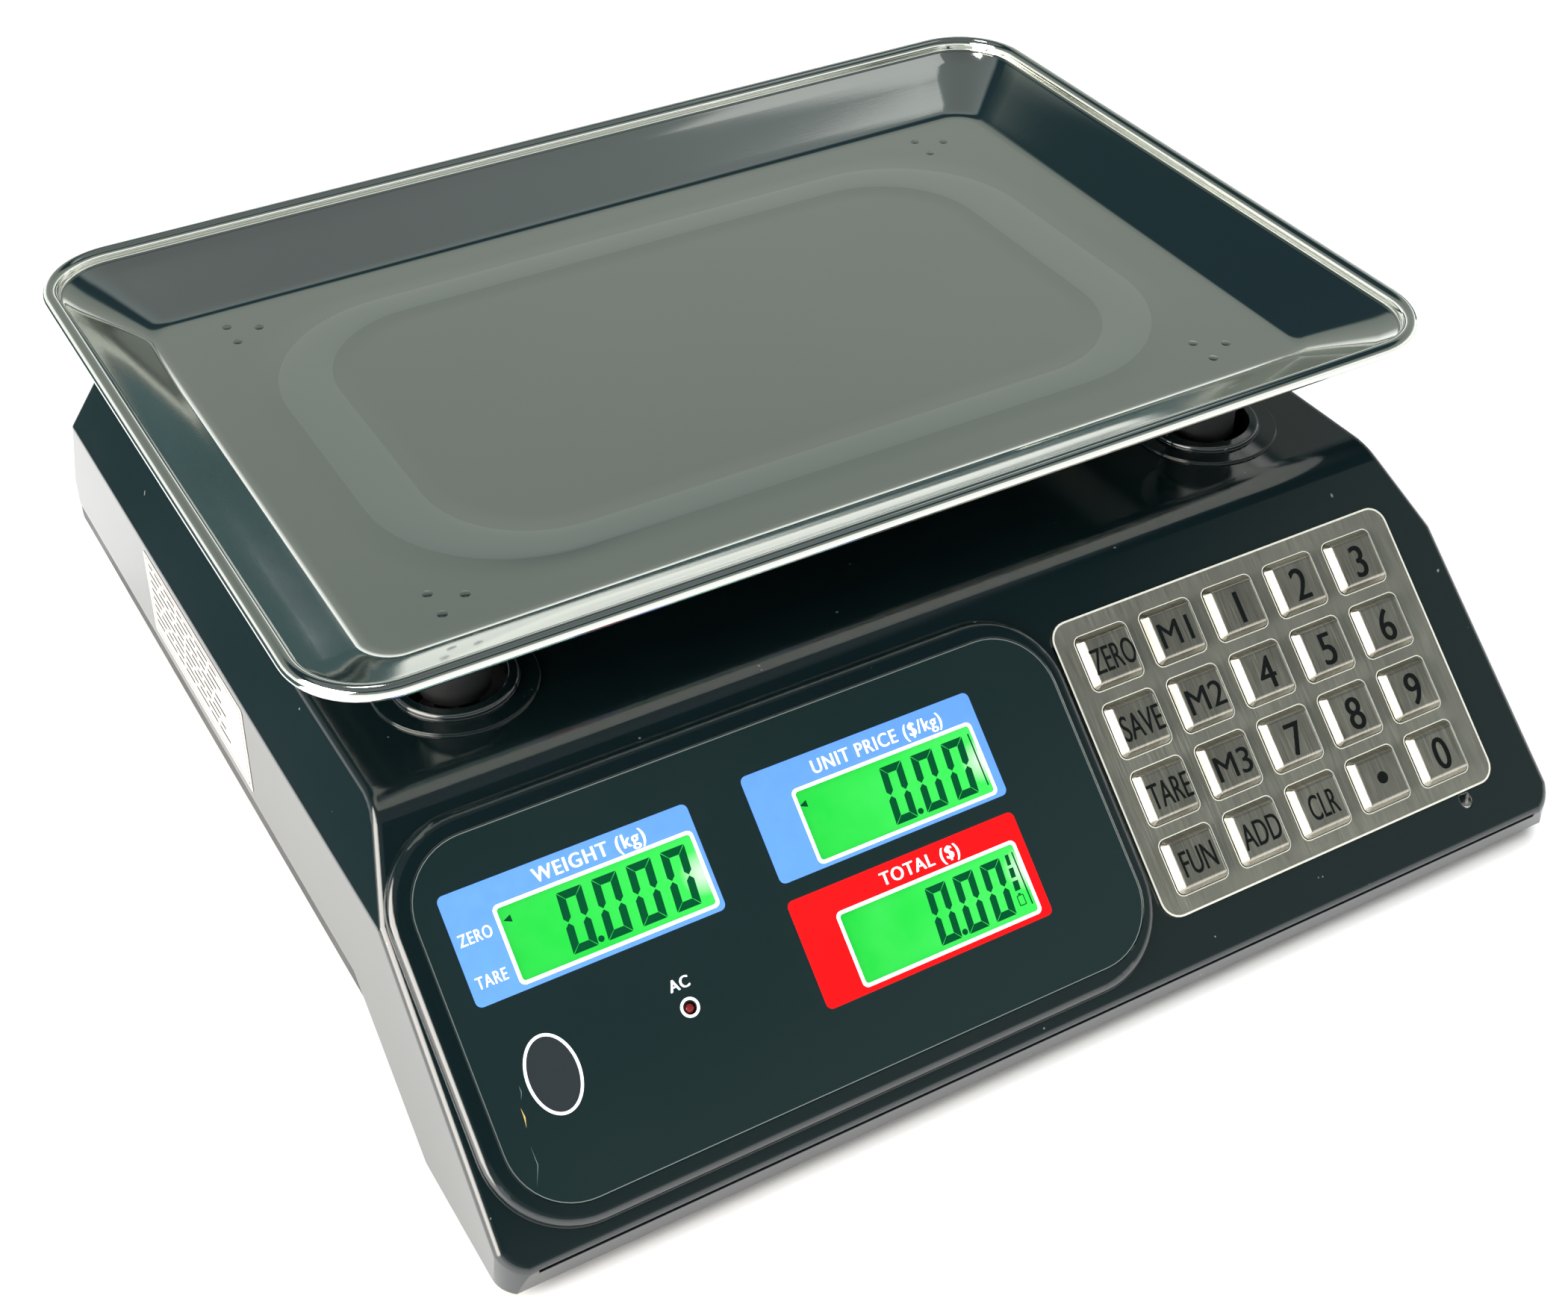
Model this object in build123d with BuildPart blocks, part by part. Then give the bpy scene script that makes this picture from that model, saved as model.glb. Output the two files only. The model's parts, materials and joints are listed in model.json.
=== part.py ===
"""Retail price-computing scale: a loose steel pan on a load-cell platform in a wedge-shaped moulded housing.

Millimetres, +X to the operator's right, +Y away from the operator, +Z up. The origin is on the surface
that the scale stands on, at the centre of the footprint. "Down the slope" is measured from the crease
between the flat top and the sloping front panel.
"""

from build123d import *
import math
import os

# ---------------------------------------------------------------- driving dimensions
HALF_DEPTH = 169.0  # half the housing's front-to-back length
BASE_Z = 6.0  # underside of the housing above the table
TOP_Z = 93.0  # flat top
TOP_HALF = 156.0  # half width of the flat top between its side bevels
SHOULDER_Z = 72.0  # lower edge of the side bevels
SHOULDER_HALF = 165.5
SKIRT_HALF = 167.8  # half width at the bottom of the side walls
CREASE_Y = -81.5  # flat top ends here and the front panel starts
SLOPE = 42.0  # front panel below the horizontal, degrees
REAR_TOP_Y = 146.0  # flat top ends here at the back
REAR_FOOT_Z = 42.0  # where the sloping back meets the rearmost edge
PARTING_Z = 37.0  # joint between cover and tray along the sides and back
PARTING_FRONT_Y = -121.0  # the cover's skirt reaches the bottom in front of this
PARTING_REAR_Y = -78.0
CORNER_R = 9.0
WALL = 2.6

PAN_Y = 27.0  # pan centre behind the origin
PAN_LENGTH = 340.0
PAN_WIDTH = 240.0
PAN_TOP_Z = 134.5
PAN_DEPTH = 15.5  # rim to weighing surface
PAN_FLOOR_LENGTH = 290.0
PAN_FLOOR_WIDTH = 182.0
PAN_CORNER_R = 24.0
PAN_FLOOR_R = 9.0
SHEET = 0.8
BEAD_R = 2.3  # rolled rim
LIP_INSET = 5.0  # from the rim's outside to the top of the sloping wall
LIP_DROP = 4.3

POST_X = 120.3  # platform posts from the pan's centre
POST_Y = 75.6
POST_R = 6.0
CAP_R = 9.5
POST_HOLE_R = 14.0

BEZEL = (-65.9, 61.0, 195.4, 105.0, 24.0)  # centre across, centre down the slope, width, height, corner
BEZEL_RISE = 2.6
OVERLAY = (-64.9, 61.2, 185.4, 93.4, 18.0)
BEZEL_EDGE_R = 2.4
OVERLAY_THICK = 0.8
OVERLAY_BED = 1.6  # height of the overlay's seat above the front panel
WINDOW = (54.3, 19.5, 1.6)  # width, height and corner radius of a display window
WEIGHT_AT = (-111.3, 43.9)
UNIT_PRICE_AT = (-27.4, 43.9)
TOTAL_AT = (-28.6, 77.5)
LED_AT = (-101.3, 74.9)
LCD = (58.0, 23.0, 2.8)
BACKLIGHT_THICK = 3.0
BOARD_THICK = 1.6

PLATE_AT = (91.5, 60.8)
PLATE = (117.6, 86.0, 5.5)
PLATE_THICK = 0.9
KEYS_AT = (90.8, 61.0)
KEY_PITCH_X = 21.7
KEY_PITCH_Y = 19.85
KEY = (16.6, 15.5)  # base of a key cap
KEY_CORNER = 1.8
KEY_RISE = 3.4  # top of a key above the front panel
KEY_DRAFT = 32.0
KEY_GAP = 0.25
KEY_FLANGE = 1.0
KEY_STEM_R = 3.0
KEY_STEM_END = -3.2
KEY_NAMES = (
    ("zero", "m1", "1", "2", "3"),
    ("save", "m2", "4", "5", "6"),
    ("tare", "m3", "7", "8", "9"),
    ("function", "add", "clear", "point", "0"),
)

FOOT_X = 122.0
FOOT_FRONT_Y = -132.0
FOOT_REAR_Y = 118.0
FOOT_R = 12.5
STUD_R = 3.95
STUD_TOP = 19.0

INLET_Y = 62.0  # mains inlet and switch on the right-hand wall
SWITCH_Y = 18.0
SIDE_FITTING_Z = 54.0
SIDE_FACE_X = 167.6

CREASE_R = 14.0
EDGE_R = 2.5
COLLAR_R = 16.8
COLLAR_RISE = 2.4
COLLAR_SKIRT_R = 22.0
COLLAR_SKIRT_RISE = 0.8
GROOVE_Z = 12.9
GROOVE_HEIGHT = 1.3
GROOVE_DEPTH = 1.2

TRAY_HALF = 146.0  # half width of the tray's underside
TRAY_FLARE_Z = 33.0
TRAY_FRONT_Y = -165.6
TRAY_REAR_Y = 150.0
TRAY_LIP_Z = 11.0
FLOOR_Z = BASE_Z + WALL

HOUSING_SCREWS = ((138.0, -160.3), (136.0, -60.0), (110.0, 140.0))  # either side of the middle, and y
COLUMN_FOOT_Z = 11.0  # screw columns of the cover stand on the tray's pads here
COLUMN_R = 4.0
COLUMN_BORE = 12.0
SCREW_R = 1.95
SCREW_HEAD_R = 3.8
SCREW_HEAD = 2.4
SCREW_SEAT_Z = 9.0
SCREW_LENGTH = 12.0
SCREW_PAD_R = 5.0
FOOT_BOSS_R = 7.5
PILLAR_R = 5.5
BOSS_R = 2.6

REAR_RECESS = 1.0
REAR_AT = (0.0, -26.5)  # across and up the sloping back from its top edge
REAR_OVERLAY = (192.0, 38.0, 4.0)
REAR_BOARD = (186.0, 34.0)
REAR_BOARD_TOP = -7.0
REAR_WINDOW_PITCH = 61.0

LED_R = 1.5
LCD_TOP = OVERLAY_BED - 0.1
DISPLAY_BOARD_TOP = -4.6
DISPLAY_BOARD_AT = (-66.0, 60.0)
DISPLAY_BOARD = (178.0, 74.0)
KEY_BOARD_TOP = -5.4
KEY_BOARD = (116.0, 80.0)
KEY_OPENING = (107.0, 78.0)
KEY_TOP_R = 1.2
KEY_FLANK_Z = 1.1  # the sloping flanks of a key start here
KEY_FOOT_Z = -0.1
KEY_FLANGE_THICK = 0.8
KEY_BOARD_SCREW_INSET = 2.5
BOARD_SCREW_INSET = 4.0
MAT_THICK = 1.0
MAT_MARGIN = 1.0  # between the mat and the edge of the opening for the keys
MAT_DOME_R = 4.2
MAT_DOME_TAPER = 30.0

CELL = (130.0, 30.0, 22.0)
CELL_Z = 48.0
CELL_BOLT_X = 48.0
CELL_BOLT_PITCH = 16.0
CELL_BOLT_R = 3.0
CELL_BOLT_LENGTH = 18.0
CELL_HEAD_R = 5.0
CELL_HEAD = 4.0
CELL_BORE_X = 12.0
CELL_BORE_R = 8.0
SPACER = (30.0, 28.0)
BASE_PLATE = (150.0, 58.0, 4.0)
BASE_PLATE_Z = 41.0
BASE_PLATE_THICK = 3.0
PLATE_SCREWS = (66.0, 22.0)  # either side of the middle and of the pan's centre line
PLATE_SCREW_DEPTH = 10.0
SPIDER_Z = 74.0
SPIDER_THICK = 8.0
SPIDER_ARM = 24.0
SPIDER_HUB = (120.0, 46.0, 6.0)
SPIDER_POCKET = (46.0, 16.0)  # length and width of the hollow under each arm
SPIDER_POCKET_AT = 0.62  # share of the way out to the post
SPIDER_TOP = 3.0  # metal left above a pocket
POST_TOP_Z = 114.0
CAP_FOOT_Z = 91.5
PAN_FLOOR_Z = PAN_TOP_Z - PAN_DEPTH
PAN_UNDER_Z = PAN_FLOOR_Z - SHEET
BAND_OUTER = (252.0, 148.0, 45.0)  # rounded band pressed up in the pan's floor
BAND_INNER = (212.0, 124.0, 32.0)
BAND_RISE = 0.3
WELD_R = 1.5
WELD_DEPTH = 0.2
WELD_CIRCLE_R = 5.5
LOCATOR_R = 11.2
LOCATOR_DEPTH = 9.0

BATTERY = (101.0, 70.0, 47.0)
BATTERY_AT = (-60.0, 100.0)
BATTERY_CORNER = 2.0
TERMINAL = (4.8, 0.8, 6.0)  # width, thickness and length of a battery tab
TERMINAL_SPREAD = 24.0
TERMINAL_HEIGHT = 38.0
STRAP_WIDTH = 16.0
STRAP_THICK = 1.2
STRAP_FOOT = 9.0
MAIN_BOARD = (112.0, 60.0)
MAIN_BOARD_AT = (0.0, -48.0)
MAIN_BOARD_Z = 15.0
TRANSFORMER = (48.0, 24.0, 40.0)
TRANSFORMER_AT = (92.0, 98.0)
TRANSFORMER_COIL = (32.0, 40.0, 3.0)
TRANSFORMER_COIL_Z = 8.0

FLANGE_THICK = 2.0
INLET_FLANGE = (31.0, 26.0)
INLET_BODY = (27.0, 20.0)
INLET_DEPTH = 20.0
INLET_SOCKET = (24.6, 16.8)
SOCKET_DEPTH = 16.0
PIN = (2.0, 4.0)
PIN_PITCH = 7.0
PIN_STAGGER = 2.0  # the middle pin is this much above the socket's centre and the outer two below
PIN_RECESS = 3.0
PIN_LENGTH = 26.0
SWITCH_FLANGE = (21.0, 15.0)
SWITCH_BODY = (19.0, 13.0)
SWITCH_MOUTH = (17.6, 11.4)
SWITCH_DEPTH = 12.0
ROCKER = (14.8, 11.0)
ROCKER_AXIS_X = SIDE_FACE_X - 4.0
ROCKER_TILT = 12.0

# ---------------------------------------------------------------- derived places
slope_rad = math.radians(SLOPE)
PANEL = Plane(
    origin=(0, CREASE_Y, TOP_Z), x_dir=(1, 0, 0), z_dir=(0, -math.sin(slope_rad), math.cos(slope_rad))
)
rear_run = HALF_DEPTH - REAR_TOP_Y
rear_fall = TOP_Z - REAR_FOOT_Z
BACK = Plane(origin=(0, REAR_TOP_Y, TOP_Z), x_dir=(-1, 0, 0), z_dir=(0, rear_fall, rear_run))
SLOPE_END_Z = TOP_Z - (HALF_DEPTH + CREASE_Y) * math.tan(slope_rad)
lip_share = (TRAY_LIP_Z - BASE_Z + 1) / (PARTING_Z - BASE_Z + 1)
TRAY_LIP_Y = PARTING_FRONT_Y + (PARTING_REAR_Y - PARTING_FRONT_Y) * lip_share
posts = [(sx * POST_X, PAN_Y + sy * POST_Y) for sx in (-1, 1) for sy in (-1, 1)]
feet = {
    "front_left": (-FOOT_X, FOOT_FRONT_Y),
    "front_right": (FOOT_X, FOOT_FRONT_Y),
    "rear_left": (-FOOT_X, FOOT_REAR_Y),
    "rear_right": (FOOT_X, FOOT_REAR_Y),
}
windows = [WEIGHT_AT, UNIT_PRICE_AT, TOTAL_AT]

os.makedirs("parts", exist_ok=True)


def save(part, name):
    part.label = name
    export_step(part, f"parts/{name}.step")


def on_panel(across, down):
    """Place on the front panel's plane, from the distance across and down the slope."""
    return (across, -down)


def panel_plane(rise):
    return PANEL.offset(rise)


screw_places = [(side * x, y) for x, y in HOUSING_SCREWS for side in (-1, 1)]
under_parting = [
    (PARTING_FRONT_Y, BASE_Z - 1),
    (PARTING_REAR_Y, PARTING_Z),
    (HALF_DEPTH + 5, PARTING_Z),
    (HALF_DEPTH + 5, -25),
    (PARTING_FRONT_Y, -25),
]
plate_screws = [(sx * PLATE_SCREWS[0], PAN_Y + sy * PLATE_SCREWS[1]) for sx in (-1, 1) for sy in (-1, 1)]
fixed_bolts = [(-CELL_BOLT_X + side * CELL_BOLT_PITCH / 2, PAN_Y) for side in (-1, 1)]
platform_bolts = [(CELL_BOLT_X + side * CELL_BOLT_PITCH / 2, PAN_Y) for side in (-1, 1)]
rear_windows = [(REAR_AT[0] + step * REAR_WINDOW_PITCH, REAR_AT[1]) for step in (-1, 0, 1)]


def corners(place, size, margin):
    """Four points inside the corners of a board."""
    return [
        (place[0] + sx * (size[0] / 2 - margin), place[1] + sy * (size[1] / 2 - margin))
        for sx in (-1, 1)
        for sy in (-1, 1)
    ]


display_bosses = [on_panel(*place) for place in corners(DISPLAY_BOARD_AT, DISPLAY_BOARD, BOARD_SCREW_INSET)]
key_bosses = [on_panel(*place) for place in corners(KEYS_AT, KEY_BOARD, KEY_BOARD_SCREW_INSET)]
rear_bosses = corners(REAR_AT, REAR_BOARD, BOSS_R)
main_bosses = corners(MAIN_BOARD_AT, MAIN_BOARD, BOARD_SCREW_INSET)
inlet_pins = [
    (INLET_Y - PIN_PITCH, SIDE_FITTING_Z - PIN_STAGGER),
    (INLET_Y, SIDE_FITTING_Z + PIN_STAGGER),
    (INLET_Y + PIN_PITCH, SIDE_FITTING_Z - PIN_STAGGER),
]
# radius and height of a levelling foot, screwed right in: pad, neck and threaded stud
foot_outline = [
    (0, 0),
    (FOOT_R - 1, 0),
    (FOOT_R, 1),
    (FOOT_R, 4),
    (FOOT_R - 2.5, BASE_Z),
    (STUD_R, BASE_Z),
    (STUD_R, STUD_TOP),
    (0, STUD_TOP),
]
rocker_end = ROCKER[0] / 2
rocker_outline = [
    (-2.5, -rocker_end),
    (4.6, -rocker_end),
    (3.6, 0),
    (4.6, rocker_end),
    (-2.5, rocker_end),
    (-5.5, 3),
    (-5.5, -3),
]


def strap_outline(half, height):
    """Hat-shaped strap over the battery, with a foot each side, as y and z from the tray's floor."""
    t = STRAP_THICK
    toe = half + t + STRAP_FOOT
    return [
        (-toe, 0), (-half, 0), (-half, height), (half, height),
        (half, 0), (toe, 0), (toe, t), (half + t, t), (half + t, height + t),
        (-half - t, height + t), (-half - t, t), (-toe, t),
    ]


def faces_panel_at(face, rise):
    """True for a flat face parallel to the front panel at this height above it."""
    if face.geom_type != GeomType.PLANE:
        return False
    height = PANEL.to_local_coords(face.center()).Z
    return face.normal_at().dot(PANEL.z_dir) > 0.999 and abs(height - rise) < 0.01


def is_bezel_top(face):
    return faces_panel_at(face, BEZEL_RISE)


def is_key_top(face):
    return faces_panel_at(face, KEY_RISE)


# ---------------------------------------------------------------- housing shape
def envelope(inset, bottom):
    """The housing's outer shape, or its cavity when inset by the wall."""
    side = [
        (-HALF_DEPTH + 2.0, bottom),
        (-HALF_DEPTH, SLOPE_END_Z),
        (CREASE_Y, TOP_Z),
        (REAR_TOP_Y, TOP_Z),
        (HALF_DEPTH, REAR_FOOT_Z),
        (HALF_DEPTH - 2.5, PARTING_Z),
        (HALF_DEPTH - 2.5, bottom),
    ]
    section = [
        (-SKIRT_HALF, bottom),
        (-SHOULDER_HALF, SHOULDER_Z),
        (-TOP_HALF, TOP_Z),
        (TOP_HALF, TOP_Z),
        (SHOULDER_HALF, SHOULDER_Z),
        (SKIRT_HALF, bottom),
    ]
    with BuildPart() as shape:
        with BuildSketch(Plane.YZ):
            with BuildLine():
                Polyline(*side, close=True)
            make_face()
            if inset:
                offset(amount=-inset, kind=Kind.INTERSECTION)
        extrude(amount=SKIRT_HALF + 1, both=True)
        with BuildSketch(Plane.XZ):
            with BuildLine():
                Polyline(*section, close=True)
            make_face()
            if inset:
                offset(amount=-inset, kind=Kind.INTERSECTION)
        extrude(amount=HALF_DEPTH + 1, both=True, mode=Mode.INTERSECT)
        with BuildSketch(Plane.XY.offset(bottom - 1)):
            RectangleRounded(2 * (SKIRT_HALF - inset), 2 * (HALF_DEPTH - inset), CORNER_R - inset)
        extrude(amount=TOP_Z - bottom + 2, mode=Mode.INTERSECT)
    return shape.part


def is_crisp(edge):
    """Upper edges of the blank that the mould rounds; the crease has its own larger radius."""
    box = edge.bounding_box()
    on_crease = box.size.X > TOP_HALF and abs(box.max.Y - CREASE_Y) < CREASE_R
    upper = box.min.Z > REAR_FOOT_Z - 1
    front_lip = box.min.Z > SLOPE_END_Z - 1 and box.max.Y < CORNER_R + 1 - HALF_DEPTH
    return (upper or front_lip or is_panel_side(box)) and not on_crease


def is_panel_side(box):
    return box.size.X < 3 and box.size.Z > 20 and box.max.Y < CREASE_Y and box.min.Z > SLOPE_END_Z


with BuildPart() as blank:
    add(envelope(0, BASE_Z))
    crosswise = blank.edges().filter_by(Axis.X)
    fillet(crosswise.filter_by_position(Axis.Z, TOP_Z - 1, TOP_Z + 1).sort_by(Axis.Y)[0], CREASE_R)
    fillet([edge for edge in blank.edges() if is_crisp(edge)], EDGE_R)

cavity = envelope(WALL, -20)

# ---------------------------------------------------------------- cover
with BuildPart() as columns:
    with BuildSketch(Plane.XY.offset(COLUMN_FOOT_Z)):
        with Locations(*screw_places):
            Circle(COLUMN_R)
    extrude(amount=TOP_Z)
    add(blank.part, mode=Mode.INTERSECT)

with BuildPart() as upper_housing:
    add(blank.part)
    add(cavity, mode=Mode.SUBTRACT)
    # the tray takes over below the parting line, which drops to the bottom near the front
    with BuildSketch(Plane.YZ):
        with BuildLine():
            Polyline(*under_parting, close=True)
        make_face()
    extrude(amount=SKIRT_HALF + 1, both=True, mode=Mode.SUBTRACT)
    # raised bezel round the display
    with BuildSketch(panel_plane(-WALL)):
        with Locations(on_panel(*BEZEL[:2])):
            RectangleRounded(*BEZEL[2:])
    extrude(amount=WALL + BEZEL_RISE)
    fillet(upper_housing.faces().filter_by(is_bezel_top)[0].edges(), BEZEL_EDGE_R)
    with BuildSketch(panel_plane(OVERLAY_BED)):
        with Locations(on_panel(*OVERLAY[:2])):
            RectangleRounded(OVERLAY[2] + 0.3, OVERLAY[3] + 0.3, OVERLAY[4])
    extrude(amount=BEZEL_RISE, mode=Mode.SUBTRACT)
    # collars round the platform posts
    with BuildSketch(Plane.XY.offset(TOP_Z - WALL)):
        with Locations(*posts):
            Circle(COLLAR_SKIRT_R)
    extrude(amount=WALL + COLLAR_SKIRT_RISE)
    with BuildSketch(Plane.XY.offset(TOP_Z - WALL)):
        with Locations(*posts):
            Circle(COLLAR_R)
    extrude(amount=WALL + COLLAR_RISE)
    rims = upper_housing.edges().filter_by(GeomType.CIRCLE)
    fillet(rims.filter_by_position(Axis.Z, TOP_Z + COLLAR_RISE - 0.1, TOP_Z + COLLAR_RISE + 0.1), 1.0)
    with BuildSketch(Plane.XY.offset(TOP_Z - 2 * WALL)):
        with Locations(*posts):
            Circle(POST_HOLE_R)
    extrude(amount=4 * WALL, mode=Mode.SUBTRACT)
    # groove under the lip of the front panel
    with BuildSketch(Plane.YZ):
        with Locations((-HALF_DEPTH, GROOVE_Z)):
            Rectangle(2 * GROOVE_DEPTH, GROOVE_HEIGHT)
    extrude(amount=SKIRT_HALF - CORNER_R, both=True, mode=Mode.SUBTRACT)
    # windows for the displays, keys and rear display
    with BuildSketch(panel_plane(-2 * WALL)):
        with Locations(*[on_panel(*place) for place in windows]):
            Rectangle(LCD[0] + 0.4, LCD[1] + 0.4)
        with Locations(on_panel(*LED_AT)):
            Circle(LED_R + 0.3)
        with Locations(on_panel(*KEYS_AT)):
            Rectangle(*KEY_OPENING)
    extrude(amount=2 * WALL + BEZEL_RISE + 1, mode=Mode.SUBTRACT)
    with BuildSketch(BACK.offset(-REAR_RECESS)):
        with Locations(REAR_AT):
            RectangleRounded(REAR_OVERLAY[0] + 0.3, REAR_OVERLAY[1] + 0.3, REAR_OVERLAY[2])
    extrude(amount=REAR_RECESS + 1, mode=Mode.SUBTRACT)
    with BuildSketch(BACK.offset(-2 * WALL)):
        with Locations(*rear_windows):
            Rectangle(LCD[0] + 0.4, LCD[1] + 0.4)
    extrude(amount=2 * WALL, mode=Mode.SUBTRACT)
    # right-hand wall: mains inlet and switch
    with BuildSketch(Plane.YZ.offset(SIDE_FACE_X - 2 * WALL)):
        with Locations((INLET_Y, SIDE_FITTING_Z)):
            Rectangle(INLET_FLANGE[0] + 0.2, INLET_FLANGE[1] + 0.2)
        with Locations((SWITCH_Y, SIDE_FITTING_Z)):
            Rectangle(SWITCH_FLANGE[0] + 0.2, SWITCH_FLANGE[1] + 0.2)
    extrude(amount=3 * WALL, mode=Mode.SUBTRACT)
    # screw columns, and short bosses for the three circuit boards
    add(columns.part)
    with BuildSketch(Plane.XY.offset(COLUMN_FOOT_Z)):
        with Locations(*screw_places):
            Circle(SCREW_R + 0.02)
    extrude(amount=COLUMN_BORE, mode=Mode.SUBTRACT)
    with BuildSketch(panel_plane(DISPLAY_BOARD_TOP)):
        with Locations(*display_bosses):
            Circle(BOSS_R)
    extrude(amount=-DISPLAY_BOARD_TOP - 1)
    with BuildSketch(panel_plane(KEY_BOARD_TOP)):
        with Locations(*key_bosses):
            Circle(BOSS_R)
    extrude(amount=-KEY_BOARD_TOP - 1)
    with BuildSketch(BACK.offset(REAR_BOARD_TOP)):
        with Locations(*rear_bosses):
            Circle(BOSS_R)
    extrude(amount=-REAR_BOARD_TOP - 1)
save(upper_housing.part, "upper_housing")


# ---------------------------------------------------------------- tray
def tray_shape(inset, rise):
    """The tray's outside, or its inside when inset by the wall and raised through the open top."""
    side = [
        (TRAY_FRONT_Y, BASE_Z),
        (TRAY_FRONT_Y, TRAY_LIP_Z + rise),
        (TRAY_LIP_Y, TRAY_LIP_Z + rise),
        (PARTING_REAR_Y, PARTING_Z + rise),
        (HALF_DEPTH, PARTING_Z + rise),
        (HALF_DEPTH - 2.5, PARTING_Z - 1),
        (TRAY_REAR_Y, BASE_Z),
    ]
    section = [
        (-TRAY_HALF, BASE_Z),
        (-SKIRT_HALF, TRAY_FLARE_Z),
        (-SKIRT_HALF, TOP_Z),
        (SKIRT_HALF, TOP_Z),
        (SKIRT_HALF, TRAY_FLARE_Z),
        (TRAY_HALF, BASE_Z),
    ]
    with BuildPart() as shape:
        with BuildSketch(Plane.YZ):
            with BuildLine():
                Polyline(*side, close=True)
            make_face()
            if inset:
                offset(amount=-inset, kind=Kind.INTERSECTION)
        extrude(amount=SKIRT_HALF + 1, both=True)
        with BuildSketch(Plane.XZ):
            with BuildLine():
                Polyline(*section, close=True)
            make_face()
            if inset:
                offset(amount=-inset, kind=Kind.INTERSECTION)
        extrude(amount=HALF_DEPTH + 1, both=True, mode=Mode.INTERSECT)
        add(envelope(inset, -20), mode=Mode.INTERSECT)
    return shape.part


with BuildPart() as lower_housing:
    add(tray_shape(0, 0))
    add(tray_shape(WALL, 4 * WALL), mode=Mode.SUBTRACT)
    with BuildSketch(Plane.XY.offset(BASE_Z)):
        with Locations(*screw_places):
            Circle(SCREW_PAD_R)
    extrude(amount=COLUMN_FOOT_Z - BASE_Z)
    with BuildSketch(Plane.XY.offset(BASE_Z)):
        with Locations(*feet.values()):
            Circle(FOOT_BOSS_R)
    extrude(amount=STUD_TOP + 1 - BASE_Z)
    with BuildSketch(Plane.XY.offset(BASE_Z + 1)):
        with Locations(*plate_screws):
            Circle(PILLAR_R)
    extrude(amount=BASE_PLATE_Z - BASE_Z - 1)
    with BuildSketch(Plane.XY.offset(BASE_Z + 1)):
        with Locations(*main_bosses):
            Circle(BOSS_R)
    extrude(amount=MAIN_BOARD_Z - BASE_Z - 1)
    # countersunk seats for the housing screws, threads for the feet and the plate screws
    with BuildSketch(Plane.XY.offset(BASE_Z)):
        with Locations(*screw_places):
            Circle(SCREW_HEAD_R + 0.3)
    extrude(amount=SCREW_SEAT_Z - BASE_Z, mode=Mode.SUBTRACT)
    with BuildSketch(Plane.XY):
        with Locations(*screw_places):
            Circle(SCREW_R + 0.2)
    extrude(amount=TOP_Z, mode=Mode.SUBTRACT)
    with BuildSketch(Plane.XY):
        with Locations(*feet.values()):
            Circle(STUD_R + 0.05)
    extrude(amount=TOP_Z, mode=Mode.SUBTRACT)
    with BuildSketch(Plane.XY.offset(BASE_PLATE_Z - PLATE_SCREW_DEPTH)):
        with Locations(*plate_screws):
            Circle(SCREW_R + 0.02)
    extrude(amount=TOP_Z, mode=Mode.SUBTRACT)
save(lower_housing.part, "lower_housing")


# ---------------------------------------------------------------- fasteners and feet
def screws(places, seat_z, shank, head_r, head_height, radius, up):
    """Pan-head screws whose heads sit on seat_z; up is 1 when the shank points up, -1 when down."""
    with BuildPart() as group:
        with BuildSketch(Plane.XY.offset(seat_z)):
            with Locations(*places):
                Circle(radius)
        extrude(amount=up * shank)
        with BuildSketch(Plane.XY.offset(seat_z)):
            with Locations(*places):
                Circle(head_r)
        extrude(amount=-up * head_height)
        with BuildSketch(Plane.XY.offset(seat_z - up * head_height)):
            with Locations(*places):
                Rectangle(head_r, head_r / 4)
                Rectangle(head_r / 4, head_r)
        extrude(amount=up * head_height / 2, mode=Mode.SUBTRACT)
    return group.part


save(
    screws(screw_places, SCREW_SEAT_Z, SCREW_LENGTH, SCREW_HEAD_R, SCREW_HEAD, SCREW_R, 1),
    "housing_screws",
)

for corner, (foot_x, foot_y) in feet.items():
    with BuildPart() as foot:
        with BuildSketch(Plane.XZ.offset(-foot_y)):
            with BuildLine():
                Polyline(*[(foot_x + r, z) for r, z in foot_outline], close=True)
            make_face()
        revolve(axis=Axis((foot_x, foot_y, 0), (0, 0, 1)))
    save(foot.part, f"foot_{corner}")

# ---------------------------------------------------------------- load cell and platform
with BuildPart() as base_plate:
    with BuildSketch(Plane.XY.offset(BASE_PLATE_Z)):
        with Locations((0, PAN_Y)):
            RectangleRounded(*BASE_PLATE)
        with Locations(*plate_screws, *fixed_bolts):
            Circle(CELL_BOLT_R + 0.1, mode=Mode.SUBTRACT)
    extrude(amount=BASE_PLATE_THICK)
save(base_plate.part, "base_plate")

with BuildPart() as fixed_spacer:
    with BuildSketch(Plane.XY.offset(BASE_PLATE_Z + BASE_PLATE_THICK)):
        with Locations((-CELL_BOLT_X, PAN_Y)):
            Rectangle(*SPACER)
        with Locations(*fixed_bolts):
            Circle(CELL_BOLT_R + 0.1, mode=Mode.SUBTRACT)
    extrude(amount=CELL_Z - BASE_PLATE_Z - BASE_PLATE_THICK)
save(fixed_spacer.part, "load_cell_spacer")

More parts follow.
